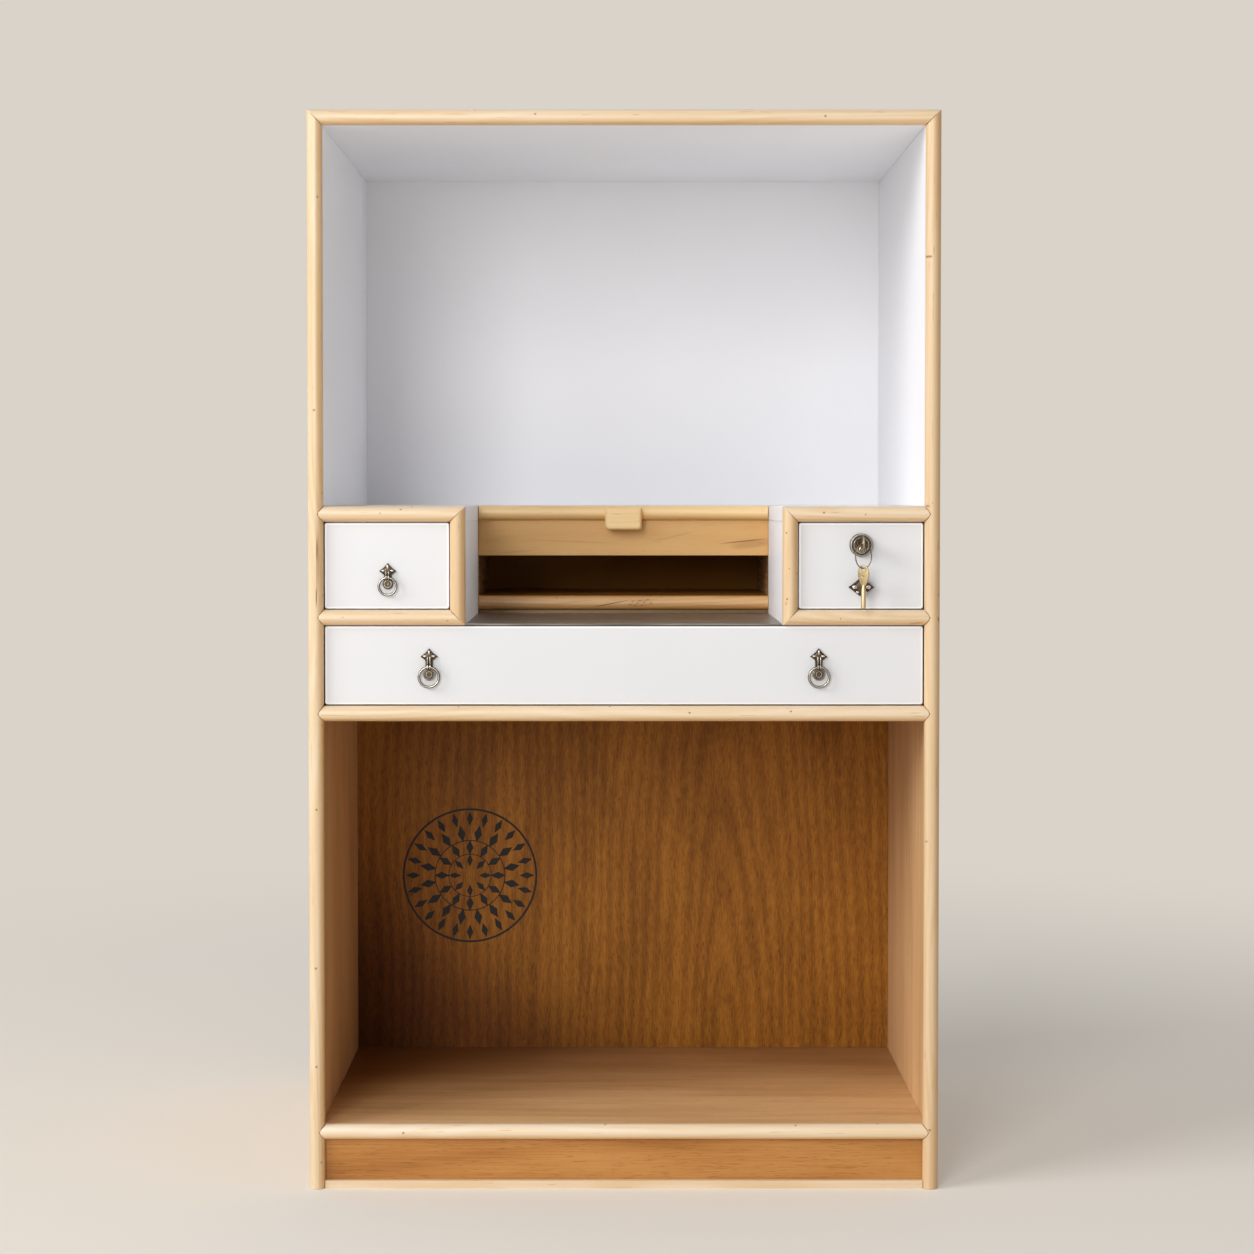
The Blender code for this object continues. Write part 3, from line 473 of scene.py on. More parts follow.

# %% [markdown]
# The veneer of the open shelf reads as a stained tropical wood. Its rings are wide and faint,
# and what the eye sees first are short dark pores. The tall pointed arches on the back panel
# are what a cut close to the pith, slightly aslant, would draw.
#
# The shelf and the lower back take a deeper tint towards some corners, which is painted shade.
# Several boards have colour stops of their own: the right side panel and the shelf are lighter
# copies of the tan veneer, which is painted light. All this was fitted by comparing patches of
# the photograph with renders, so under another light a plain board, made with wood() alone,
# may be truer. Two of these finishes have an IOR below that of real varnish, to dim their
# sheen as far as the photograph shows.

# %% Brown and golden veneers
BROWN_STOPS = [(0.0, "#5c3409"), (0.4, "#8e5a1b"), (0.65, "#ad7226"), (1.0, "#c1873a")]
GOLD_STOPS = [(0.0, "#b58245"), (0.4, "#d8a768"), (0.7, "#dcae70"), (1.0, "#e3b97e")]
PLY_STOPS = [(0.0, "#b48a58"), (0.5, "#d8b483"), (1.0, "#e8cda0")]
TAN_STOPS = [(0.0, "#a87b4b"), (0.4, "#cda16d"), (0.65, "#dab07d"), (1.0, "#e5bf8e")]
# RIGHT_SIDE_STOPS and SHELF_STOPS are lighter copies of TAN_STOPS, which is painted light.
RIGHT_SIDE_STOPS = [(0.0, "#b3885a"), (0.4, "#daaf7d"), (0.65, "#e8bf8f"), (1.0, "#f2cea2")]
SHELF_STOPS = [(0.0, "#b28353"), (0.4, "#d9ac77"), (0.65, "#e6bb87"), (1.0, "#f0ca99")]
AMBER_STOPS = [(0.0, "#8f5820"), (0.4, "#b4793a"), (0.7, "#c18848"), (1.0, "#cc9656")]
# SHADE_TINT, BACK_SHADE and SHELF_SHADE paint shade into the lower back and the shelf, darker towards some
# corners.
SHADE_TINT = "#957432"
BACK_SHADE = [((-1, 0, 0), 60, 260, 0.3), ((-0.6, 0, -1), -160, 30, 0.8)]
SHELF_SHADE = [
    ((0, 1, 0), -130, 80, 0.5), ((-1, 1, 0), 60, 330, 0.85), ((1, 1, 0), 150, 400, 0.25),
]
TAN_UPRIGHT = {
    "pith": (430, 40), "ring": 11, "bend": 8, "rings": 0.06, "fibres": 0.10, "patches": 0.12,
    "pores": 0.25, "rough": 0.5,
}
TAN_LEVEL = {
    "pith": (40, -60), "ring": 12, "bend": 9, "rings": 0.05, "fibres": 0.10, "patches": 0.12,
    "pores": 0.25, "rough": 0.48,
}


def shade_tinted(tree, shader, colour, corners):
    """Paints shade on a board, darker towards corners, fitted to the photograph. Each corner is a
    direction, where along it the tint starts and ends, in millimetres, and its strength."""
    place = millimetres(tree)
    for way, begin, end, strength in corners:
        along = add(tree, "ShaderNodeVectorMath", {0: place, 1: way}, operation="DOT_PRODUCT")
        deep = add(
            tree,
            "ShaderNodeMapRange",
            {
                "Value": along.outputs["Value"],
                "From Min": begin,
                "From Max": end,
                "To Max": strength,
            },
            interpolation_type="SMOOTHSTEP",
        )
        colour = tint(tree, deep, linear(SHADE_TINT), colour)
    tree.links.new(colour, shader.inputs["Base Color"])


brown_upright, tree, shader, _, colour = wood(
    "brown_veneer_upright", "Z", BROWN_STOPS, (125, 150), ring=7, bend=6, rings=0.07,
    fibres=0.12, patches=0.10, pores=0.4, rough=0.5, tilt=(math.radians(-7), 0, 0), IOR=1.28,
)
shade_tinted(tree, shader, colour, BACK_SHADE)
brown_level = wood(
    "brown_veneer_level", "X", BROWN_STOPS, (40, -60), ring=12, bend=9, rings=0.05,
    fibres=0.12, patches=0.12, pores=0.4, rough=0.48,
)[0]
tan_upright = wood("tan_veneer_upright", "Z", TAN_STOPS, **TAN_UPRIGHT)[0]
tan_right_side = wood("tan_veneer_right_side", "Z", RIGHT_SIDE_STOPS, **TAN_UPRIGHT)[0]
tan_level = wood("tan_veneer_level", "X", TAN_STOPS, **TAN_LEVEL)[0]
tan_shelf, tree, shader, _, colour = wood(
    "tan_veneer_shelf", "X", SHELF_STOPS, **TAN_LEVEL, IOR=1.3
)
shade_tinted(tree, shader, colour, SHELF_SHADE)
golden_level, tree, shader, _, colour = wood(
    "golden_veneer_level", "X", GOLD_STOPS, (-30, 620), ring=9, bend=10, rings=0.08,
    fibres=0.05, patches=0.14, pores=0.12, rough=0.48,
)
FASCIA_MARKS = [
    (152, 703, 26, 6, 6, 0.30, RESIN),
    (143, 706.4, 30, 0.8, 6, 0.75, KNOT),
    (60, 712, 34, 0.9, 14, 0.25, RESIN),
    (-60, 706, 60, 1.0, -2, 0.22, RESIN),
    (-128, 694, 26, 0.9, 4, 0.22, RESIN),
]
tree.links.new(marked(tree, colour, FASCIA_MARKS), shader.inputs["Base Color"])
amber_level = wood(
    "amber_veneer_level", "X", AMBER_STOPS, (60, -40), ring=10, bend=12, rings=0.12,
    fibres=0.12, patches=0.16, pores=0.3, rough=0.48,
)[0]
plywood = wood(
    "plain_plywood", "Y", PLY_STOPS, (60, 90), ring=10, bend=18, rings=0.10,
    fibres=0.10, patches=0.12, pores=0.2, rough=0.6,
)[0]

# %% [markdown]
# ## White lacquer
#
# The alcove and the drawer fronts are sprayed with a satin white lacquer. Sprayed lacquer
# dries with a faint orange peel a few millimetres wide, which only breaks up its gloss. In
# the photograph the fronts are a little greyer than the alcove. Here the alcove's white is the
# lighter one, which is painted light that lifts the shade inside the alcove. Where a painted
# board runs on behind the fascia it is taken to be bare wood, and so are the rear faces of the
# two backs, while the deck's rear edge stays white. All of that is a guess, since the
# photograph doesn't show it. A limit in millimetres along the board's own depth and height says
# where the paint ends. The brown seen in there was fitted as it looks in the shade, so its
# darkness is painted shade, and the bay's back has an IOR too low for a real finish, which
# leaves it almost without sheen.

# %% Sprayed white lacquer
PAINT_ENDS = 21.0
UNDER_DECK = 733.5
REAR_FACE = 257.2
SATIN = 0.5
ABOVE_ALL = 2000.0


def lacquer(name, stops, bare_stops=None, bare_from=0.0, bare_below=ABOVE_ALL, ior=1.42):
    """Satin lacquer; bare_stops colour the wood behind bare_from and below bare_below."""
    made, tree, shader = start(name, SATIN, IOR=ior)
    space = millimetres(tree)
    film = clouds(tree, space, (400, 400, 400), 0, 1)
    colour = add(tree, "ShaderNodeValToRGB", {0: film}, stops=stops).outputs[0]
    if bare_stops:
        split = add(tree, "ShaderNodeSeparateXYZ", {0: space})
        behind = add(
            tree, "ShaderNodeMath", {0: split.outputs[1], 1: bare_from}, operation="GREATER_THAN"
        )
        below = add(
            tree, "ShaderNodeMath", {0: split.outputs[2], 1: bare_below}, operation="LESS_THAN"
        )
        bare = add(tree, "ShaderNodeMath", {0: behind, 1: below}, operation="MULTIPLY")
        fibre = clouds(tree, space, (90, 90, 3), 0, 1, detail=4)
        grain = add(tree, "ShaderNodeValToRGB", {0: fibre}, stops=bare_stops).outputs[0]
        colour = tint(tree, bare, grain, colour, "MIX")
        rough = add(tree, "ShaderNodeMapRange", {"Value": bare, "To Min": SATIN, "To Max": 0.95})
        tree.links.new(rough.outputs[0], shader.inputs["Roughness"])
    peel = clouds(tree, space, (3, 3, 3), 0, 1)
    ripple = add(tree, "ShaderNodeBump", {"Strength": 0.06, "Distance": 0.1 * MM, "Height": peel})
    tree.links.new(colour, shader.inputs["Base Color"])
    tree.links.new(ripple.outputs[0], shader.inputs["Normal"])
    return made


# ALCOVE_WHITE is lighter than FRONT_WHITE, which is painted light for the shade inside the alcove;
# SHADED_BROWN holds painted shade.
ALCOVE_WHITE = [(0.0, "#f4f4f7"), (1.0, "#f8f8fb")]
FRONT_WHITE = [(0.0, "#dedee0"), (1.0, "#e3e3e5")]
SHADED_BROWN = [(0.0, "#7c5019"), (1.0, "#aa783a")]
BARE_SIDE = [(0.0, "#80582c"), (1.0, "#b0824a")]
HARDBOARD = [(0.0, "#b48c60"), (1.0, "#c19969")]

alcove_white = lacquer("sprayed_alcove_lacquer", ALCOVE_WHITE)
alcove_rear = lacquer("sprayed_lacquer_bare_rear", ALCOVE_WHITE, HARDBOARD, REAR_FACE)
divider_white = lacquer("sprayed_lacquer_bare_inside", ALCOVE_WHITE, BARE_SIDE, PAINT_ENDS)
deck_white = lacquer("sprayed_lacquer_bare_below", ALCOVE_WHITE, SHADED_BROWN, PAINT_ENDS, UNDER_DECK)
front_white = lacquer("sprayed_front_lacquer", FRONT_WHITE)
bay_back = lacquer("bare_bay_back", SHADED_BROWN, HARDBOARD, REAR_FACE, ior=1.1)
print("paint ends", PAINT_ENDS, "mm deep")

# %% [markdown]
# ## Metals
#
# The plate in the notch reads as stainless steel, brushed from side to side: hair-fine
# scratches, drawn here 0.8 mm wide so that they show. Its part deeper than FOLD, under the
# pigeonhole rail, is tinted dark brown, which is painted shade. The castings read as nickel
# that was blackened and then polished again: raised parts are bright, and it is dark wherever
# the wheel can't reach, which ambient occlusion finds. Faces that look to the front are also
# painted brighter and faces that turn away darker, which is a painted sheen and draws the dark
# outlines of the rings. The ground between them stays almost black. The keys read as pale
# brass, tumbled smooth, and the one in the lock is duller in the photograph.

# %% Brushed steel, antique nickel, pale brass
FOLD = 12.0
PLATE_GREYS = [(0.0, "#77706a"), (1.0, "#a39c93")]
UNDER_RAIL_SHADE = "#74634f"
POLISH_REACH = 1.6 * MM
POLISH_FALL = 2.5

steel, tree, shader = start("brushed_steel", 0.34, Metallic=1.0)
space = millimetres(tree)
scratch = clouds(tree, space, (60, 0.8, 0.8), 0, 1, detail=3)
grey = add(tree, "ShaderNodeValToRGB", {0: scratch}, stops=PLATE_GREYS)
gloss = clouds(tree, space, (60, 0.8, 0.8), 0.28, 0.46, detail=3)
brushed = add(tree, "ShaderNodeBump", {"Strength": 0.12, "Distance": 0.05 * MM, "Height": scratch})
depth = add(tree, "ShaderNodeSeparateXYZ", {0: space}).outputs["Y"]
# Painted shade: deeper than FOLD, under the pigeonhole rail, the plate is tinted dark brown.
under_rail = add(tree, "ShaderNodeMath", {0: depth, 1: FOLD}, operation="GREATER_THAN")
grey = tint(tree, under_rail, linear(UNDER_RAIL_SHADE), grey.outputs[0], "MIX")
tree.links.new(grey, shader.inputs["Base Color"])
tree.links.new(gloss.outputs[0], shader.inputs["Roughness"])
tree.links.new(brushed.outputs[0], shader.inputs["Normal"])


def patinated(name, bright, dark, roughness, slope=(-0.96, -0.45)):
    """Metal that is dark where polish doesn't reach, with a painted sheen: bright on faces that look to
    the front, dark on faces turned away.
    """
    made, tree, shader = start(name, roughness, Metallic=1.0)
    space = millimetres(tree)
    reach = add(tree, "ShaderNodeAmbientOcclusion", {"Distance": POLISH_REACH}, samples=8, only_local=True)
    facing = add(tree, "ShaderNodeTexCoord").outputs["Normal"]
    front = add(tree, "ShaderNodeSeparateXYZ", {0: facing}).outputs["Y"]
    # Painted sheen: faces that look to the front are made bright, those that turn away dark.
    front_facing_sheen = add(
        tree,
        "ShaderNodeMapRange",
        {"Value": front, "From Min": slope[0], "From Max": slope[1], "To Min": 1.0, "To Max": 0.0},
    )
    open_air = add(tree, "ShaderNodeMath", {0: reach.outputs["AO"], 1: POLISH_FALL}, operation="POWER")
    polish_and_sheen = add(tree, "ShaderNodeMath", {0: front_facing_sheen, 1: open_air}, operation="MULTIPLY")
    speck = clouds(tree, space, (1.2, 1.2, 1.2), -0.15, 0.15, detail=3)
    shine = total(tree, polish_and_sheen, speck)
    colour = add(tree, "ShaderNodeValToRGB", {0: shine}, stops=[(0.1, dark), (0.8, bright)])
    dull = clouds(tree, space, (1.5, 1.5, 1.5), roughness - 0.08, roughness + 0.12)
    tree.links.new(colour.outputs[0], shader.inputs["Base Color"])
    tree.links.new(dull.outputs[0], shader.inputs["Roughness"])
    return made


nickel = patinated("antique_nickel", "#d9cfbf", "#2a221b", 0.28)
dark_nickel = patinated("blackened_nickel", "#665a4e", "#1c1611", 0.42)
ring_nickel = patinated("nickel_ring", "#c3bbad", "#211b16", 0.28, (-0.99, -0.78))
rim_nickel = patinated("rolled_nickel_rim", "#bcb8b2", "#3a342e", 0.32, (-0.95, -0.2))
brass = patinated("tumbled_pale_brass", "#cdb98f", "#6b4f28", 0.42, (-0.96, 0.2))
dull_brass = patinated("dull_pale_brass", "#b9ab90", "#4a3c2a", 0.36, (-0.96, 0.2))
wire_nickel = patinated("dull_nickel_wire", "#7d6c50", "#2e251a", 0.34)

# %% [markdown]
# ## Finishes for the boards
#
# The CAD boards have the right shape, so they stay and only take a finish. Their front edges
# are hidden behind the mouldings, which get their full shape further on.

# %% Finish each board
FINISHES = {
    "side_panel_left": tan_upright,
    "side_panel_right": tan_right_side,
    "top_panel": tan_level,
    "floor_board": tan_shelf,
    "drawer_bay_floor": brown_level,
    "lower_back": brown_upright,
    "plinth_back": tan_level,
    "plinth_front": amber_level,
    "pigeonhole_floor": brown_level,
    "fascia": golden_level,
    "plinth_strip": pine_level,
    "sub_deck": plywood,
    "drawer_bay_back": bay_back,
    "alcove_back": alcove_rear,
    "divider_left": divider_white,
    "divider_right": divider_white,
    "deck": deck_white,
    "notch_plate": steel,
    "lock_bolt": steel,
    "lock_housing": dark_nickel,
}
WHITE = """alcove_lining_left alcove_lining_right alcove_lining_top small_drawer_floor_left
small_drawer_floor_right slide_board""".split()
DRAWERS = ("left", "right", "wide")
BOXES = [f"{drawer}_drawer_{part}" for drawer in DRAWERS for part in ("box", "bottom")]
FINISHES.update({name: alcove_white for name in WHITE})
FINISHES.update({name: plywood for name in BOXES})

for name, finish in FINISHES.items():
    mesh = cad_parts[name].data
    mesh.materials.clear()
    mesh.materials.append(finish)
print("boards finished:", len(FINISHES))

# %% [markdown]
# ## Making solids
#
# Every new piece is written as closed faces between points. A small weld shares the corners
# that fall together, so that each solid is tight, and one function turns it into an object
# that rides on its body of the CAD model. A piece may have several finishes, and face.finish
# says which of them the next faces take.

# %% Mesh helpers
def welder(bm):
    """A function that makes faces and shares the corners that fall together."""
    known = {}

    def face(*corners):
        found = []
        for corner in corners:
            key = tuple(round(c * 1e7) for c in corner)
            if key not in known:
                known[key] = bm.verts.new(corner)
            if known[key] not in found:
                found.append(known[key])
        if len(found) > 2 and bm.faces.get(found) is None:
            bm.faces.new(found).material_index = face.finish

    face.finish = 0
    return face


def finish_piece(name, bm, finish, body, replaced=(), sharp=32):
    """Turns the faces into a piece that rides on a body and stands for CAD nodes."""
    bmesh.ops.recalc_face_normals(bm, faces=bm.faces)
    mesh = bpy.data.meshes.new(name)
    bm.to_mesh(mesh)
    bm.free()
    for each in finish if isinstance(finish, tuple) else (finish,):
        mesh.materials.append(each)
    mesh.shade_smooth()
    mesh.set_sharp_from_angle(angle=math.radians(sharp))
    made = bpy.data.objects.new(name, mesh)
    scene.collection.objects.link(made)
    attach(made, body)
    if replaced:
        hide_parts(*replaced)
    print(f"{name}: {len(mesh.polygons)} faces")


def skin(face, loops):
    """Faces between each loop of points and the next."""
    for low, high in zip(loops, loops[1:]):
        for k in range(len(low)):
            face(low[k - 1], low[k], high[k], high[k - 1])


def around(steps):
    """The angles of that many even steps round a circle."""
    return [math.tau * k / steps for k in range(steps)]


def rounded(half, inset, corners, steps):
    """A rectangle drawn in by inset. corners gives each one's signs in x and z and radius."""
    points = []
    for x, z, radius in corners:
        begin = math.atan2(z, x) - math.pi / 4
        for k in range(steps + 1):
            a = begin + math.pi / 2 * k / steps
            points.append(
                (
                    x * (half[0] - inset - radius) + radius * math.cos(a),
                    z * (half[1] - inset - radius) + radius * math.sin(a),
                )
            )
    return points


def stack(face, shape, rows, centre):
    """A solid of slices. shape(inset) gives an outline in x and z, rows give y and inset."""
    loops = [[(centre[0] + x, y, centre[1] + z) for x, z in shape(inset)] for y, inset in rows]
    face(*loops[0])
    face(*loops[-1])
    skin(face, loops)


def turned(face, profile, centre, sides=40, axis="Y"):
    """A solid turned on a lathe along Y or X: profile is radius and place along the axis. A
    profile that ends where it began makes a ring."""
    first, second = {"Y": ("x", "z"), "X": ("y", "z")}[axis]
    rounds = []
    for radius, place in profile:
        loop = []
        for a in around(sides):
            spot = Vector(centre)
            setattr(spot, axis.lower(), place)
            setattr(spot, first, getattr(spot, first) + radius * math.cos(a))
            setattr(spot, second, getattr(spot, second) + radius * math.sin(a))
            loop.append(tuple(spot))
        rounds.append(loop)
    skin(face, rounds)
    if profile[0] != profile[-1]:
        face(*rounds[0])
        face(*rounds[-1])


def wire(face, points, radius, sides=14):
    """A closed bent wire through points that lie in one upright plane facing the front."""
    count = len(points)
    rear = Vector((0, 1, 0))
    loops = []
    for k, point in enumerate(points):
        along = (Vector(points[(k + 1) % count]) - Vector(points[k - 1])).normalized()
        out = along.cross(rear)
        ways = [math.cos(a) * out + math.sin(a) * rear for a in around(sides)]
        loops.append([tuple(Vector(point) + radius * way) for way in ways])
    skin(face, [loops[-1], *loops])


def bead(face, centre, half, sides=16, rings=8):
    """A rounded bead with half sizes in x, y and z."""
    rows = []
    for r in range(rings + 1):
        up = math.pi * r / rings
        row = []
        for a in around(sides):
            x = half[0] * math.sin(up) * math.cos(a)
            z = half[2] * math.sin(up) * math.sin(a)
            row.append((centre[0] + x, centre[1] - half[1] * math.cos(up), centre[2] + z))
        rows.append(row)
    skin(face, rows)


# %% [markdown]
# ## Half-round mouldings
#
# Each moulding is a pine half-round, 17 mm wide, planted over a board's front edge. Where a
# rail meets a post its end is a blunt point, and the post is notched to take it; at the
# corners two mouldings meet in a mitre. A half-round is written column by column, each
# column with its own start and end, which draws points, notches and mitres with no cutting.
# The cut ends are eased by a third of a millimetre, so the joints show as fine lines.

# %% The half-round, column by column
RADIUS = 8.5 * MM
SEAM = 0.3 * MM
EASE = 0.35 * MM
COLUMNS = 24
GAP = SEAM / math.sqrt(2)


def half_round(name, along, front, middle, spans, body, finish, replaced):
    """spans lists stretches from low(s) to high(s), where s is a column's offset across."""
    bm = bmesh.new()
    face = welder(bm)
    offsets = [-RADIUS * math.cos(math.pi * i / COLUMNS) for i in range(COLUMNS + 1)]
    ends = [([low(s) for s in offsets], [high(s) for s in offsets]) for low, high in spans]
    rear = front - SEAM / 2

    def spot(i, place, eased, back):
        shrink = 1 - EASE / RADIUS if eased else 1
        s = offsets[i] * shrink
        depth = math.sqrt(max(RADIUS**2 - offsets[i] ** 2, 0)) * shrink
        y = rear if back else min(front - depth, rear)
        return (place, y, middle + s) if along == "X" else (middle + s, y, place)

    for number, (low, high) in enumerate(ends):
        before = ends[number - 1][1] if number else None
        after = ends[number + 1][0] if number + 1 < len(ends) else None
        open_low = [before is None or abs(before[i] - low[i]) > 1e-7 for i in range(COLUMNS + 1)]
        open_high = [after is None or abs(after[i] - high[i]) > 1e-7 for i in range(COLUMNS + 1)]
        for i in range(COLUMNS):
            rows = [[], []]
            for n, k in enumerate((i, i + 1)):
                rows[n] = [
                    (low[k], open_low[k]),
                    (low[k] + EASE, False),
                    (high[k] - EASE, False),
                    (high[k], open_high[k]),
                ]
            for back in (False, True):
                for r in range(3):
                    face(
                        spot(i, *rows[0][r], back),
                        spot(i, *rows[0][r + 1], back),
                        spot(i + 1, *rows[1][r + 1], back),
                        spot(i + 1, *rows[1][r], back),
                    )
            for r, is_open in ((0, open_low), (3, open_high)):
                if is_open[i] or is_open[i + 1]:
                    face(
                        spot(i, *rows[0][r], False),
                        spot(i + 1, *rows[1][r], False),
                        spot(i + 1, *rows[1][r], True),
                        spot(i, *rows[0][r], True),
                    )
    finish_piece(name, bm, finish, body, replaced)


# %% Levels that the mouldings follow
POST_MIDDLE = 336.5 * MM
NOTCH_POST = 181.5 * MM
LEVELS = {"floor": 62.5 * MM, "bay": 522.5 * MM, "small": 627.5 * MM, "deck": 740.5 * MM}
TOP_RAIL = 1171.5 * MM
BLUNT = 3.2 * MM
UNIT_FRONT = 20.65 * MM


def pointed(sign):
    """The bluntly pointed end of a rail on the left (-1) or right (1) post."""
    return lambda s: sign * (POST_MIDDLE - GAP - math.hypot(s, BLUNT))


# %% Posts, notched for the rails
for sign, side in ((-1, "left"), (1, "right")):
    def notch(s, sign=sign):
        inward = -sign * s
        return math.sqrt(inward**2 - BLUNT**2) + GAP if inward > BLUNT else 0.0

    spans = []
    floor_end = lambda s: SEAM / 2
    for level in LEVELS.values():
        spans.append((floor_end, lambda s, z=level, n=notch: z - n(s)))
        floor_end = lambda s, z=level, n=notch: z + n(s)
    spans.append((floor_end, lambda s, g=sign: TOP_RAIL + g * s - GAP))
    half_round(
        f"post_{side}", "Z", FRONT, sign * POST_MIDDLE, spans, "cabinet",
        pine_upright if sign < 0 else deep_pine,
        [f"post_trim_{side}"],
    )

# %% Rails and the posts beside the notch
half_round(
    "rail_top", "X", FRONT, TOP_RAIL,
    [(lambda s: -POST_MIDDLE - s + GAP, lambda s: POST_MIDDLE + s - GAP)],
    "cabinet", pine_level, ["trim_top"],
)
for level, node, timber in (
    ("bay", "trim_bay_floor", pine_level), ("floor", "trim_floor", pale_pine)
):
    half_round(
        f"rail_{level}", "X", FRONT, LEVELS[level], [(pointed(-1), pointed(1))],
        "cabinet", timber, [node],
    )
for sign, side in ((-1, "left"), (1, "right")):
    for level, node, slope in (("deck", "trim_deck", 1), ("small", "trim_small_floor", -1)):
        def mitre(s, slope=slope, sign=sign):
            return sign * (NOTCH_POST - slope * s + GAP)

        span = (pointed(-1), mitre) if sign < 0 else (mitre, pointed(1))
        half_round(
            f"rail_{level}_{side}", "X", FRONT, LEVELS[level], [span],
            "cabinet", pine_level, [f"{node}_{side}"],
        )
    half_round(
        f"notch_post_{side}", "Z", FRONT, sign * NOTCH_POST,
        [
            (
                lambda s, g=sign: LEVELS["small"] + g * s + GAP,
                lambda s, g=sign: LEVELS["deck"] - g * s - GAP,
            )
        ],
        "cabinet", deep_pine, [f"trim_notch_{side}"],
    )
for name, node, level, half, body, timber in (
    ("rail_pigeonhole", "trim_pigeonhole", 633.0 * MM, 172.7 * MM, "cabinet", honey_pine),
    ("rail_pull_out", "slide_trim", 740.5 * MM, 172.2 * MM, "slide_board_set", warm_pine),
):
    half_round(
        name, "X", UNIT_FRONT, level, [(lambda s, h=half: -h, lambda s, h=half: h)],
        body, timber, [node],
    )

# %% [markdown]
# ## The tab of the pull-out board
#
# A small pine block to pull the board by. Its front edges are rounded over, and in the
# photograph its lower left corner is the roundest.

# %% Tab
TAB_HALF = (21.75 * MM, 13.5 * MM)
TAB_MIDDLE_Z = 733.5 * MM
TAB_REAR, TAB_FRONT = 20.35 * MM, 1.15 * MM
TAB_EDGE = 3.6 * MM
TAB_CORNERS = [(1, 1, 2.5), (-1, 1, 2.5), (-1, -1, 5.5), (1, -1, 3.5)]
TAB_LEAST_RADIUS = 0.6 * MM
TAB_STEPS = 6


def tab_outline(inset):
    """The tab seen from the front, its corners growing tighter as it is drawn in."""
    corners = [
        (x, z, max(radius * MM - inset / 2, TAB_LEAST_RADIUS)) for x, z, radius in TAB_CORNERS
    ]
    return rounded(TAB_HALF, inset, corners, TAB_STEPS)


bm = bmesh.new()
quarter = [math.pi / 2 * k / TAB_STEPS for k in range(TAB_STEPS + 1)]
rows = [(TAB_REAR, 0.0)]
rows += [(TAB_FRONT + TAB_EDGE * (1 - math.sin(a)), TAB_EDGE * (1 - math.cos(a))) for a in quarter]
stack(welder(bm), tab_outline, rows, (0, TAB_MIDDLE_Z))
finish_piece("pull_tab", bm, warm_pine, "slide_board_set", ["slide_tab"], sharp=40)

# %% [markdown]
# ## Drawer fronts
#
# Each front is a lacquered board with rounded edges. In the photograph a fine brighter line
# frames each front, and a dark line lies in the gap. The first is a painted highlight: the
# round and a narrow band on the front take the lighter lacquer of the alcove. The second is
# painted shade: the edge behind the round takes a dark brown veneer. The board is a stack of
# shrinking outlines, and each part of it takes its own finish.

# %% Drawer fronts with rounded edges
FRONT_EDGE = 1.0 * MM
PAINTED_HIGHLIGHT_BAND = 1.3 * MM
FRONT_CORNER, FRONT_LEAST_RADIUS = 2.6 * MM, 0.2 * MM
FRONT_STEPS = 5

for drawer in DRAWERS:
    low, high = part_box(f"{drawer}_drawer_front")
    half = [(high[i] - low[i]) / 2 for i in (0, 2)]
    middle = [(high[i] + low[i]) / 2 for i in (0, 2)]

    def front_outline(inset, half=half):
        radius = max(FRONT_CORNER - inset, FRONT_LEAST_RADIUS)
        signs = ((1, 1), (-1, 1), (-1, -1), (1, -1))
        return rounded(half, inset, [(x, z, radius) for x, z in signs], 4)

    rows = [(high[1], 0.0)]
    for k in range(FRONT_STEPS + 1):
        a = math.pi / 2 * k / FRONT_STEPS
        rows.append((low[1] + FRONT_EDGE * (1 - math.sin(a)), FRONT_EDGE * (1 - math.cos(a))))
    rows.append((low[1], FRONT_EDGE + PAINTED_HIGHLIGHT_BAND))
    bm = bmesh.new()
    stack(welder(bm), front_outline, rows, middle)
    # Painted highlight on the round and the band in front of it; painted shade on the edge behind.
    for part in bm.faces:
        if len(part.verts) == 4:
            part.material_index = 1 if part.calc_center_median().y < low[1] + FRONT_EDGE else 2
    finish_piece(
        f"{drawer}_front_board", bm, (front_white, alcove_white, brown_level), f"{drawer}_drawer",
        [f"{drawer}_drawer_front"],
    )

# %% [markdown]
# ## Cast ring pulls
#
# Each pull is one casting: a lozenge with hollow sides and four leaf-shaped studs, a knuckle
# of two bars that holds the ring, and a round boss below that keeps the ring off the wood. A
# stud goes through the drawer front and is closed over behind it.

# %% A lozenge with studs
FACE = -228.35 * MM
FRONT_BACK = -211.35 * MM


def lozenge(half_x, half_z, hollow=0.10, steps=5):
    """The outline of a lozenge whose sides curve inwards, as a function of its inset."""

    def outline(inset):
        wide, high = half_x - 1.45 * inset, half_z - 1.45 * inset
        corners = [(wide, 0), (0, high), (-wide, 0), (0, -high)]
        points = []
        for k in range(4):
            (x0, z0), (x1, z1) = corners[k], corners[(k + 1) % 4]
            for j in range(steps):
                t = j / steps
                pull = 1 - hollow * math.sin(math.pi * t)
                points.append((pull * (x0 + (x1 - x0) * t), pull * (z0 + (z1 - z0) * t)))
        return points

    return outline


def leaves(face, centre, y, spots):
    """Leaf-shaped studs: each spot is right, up, half width and half height."""
    for right, up, wide, high in spots:
        place = (centre[0] + right * MM, y, centre[1] + up * MM)
        bead(face, place, (wide * MM, 0.9 * MM, high * MM))


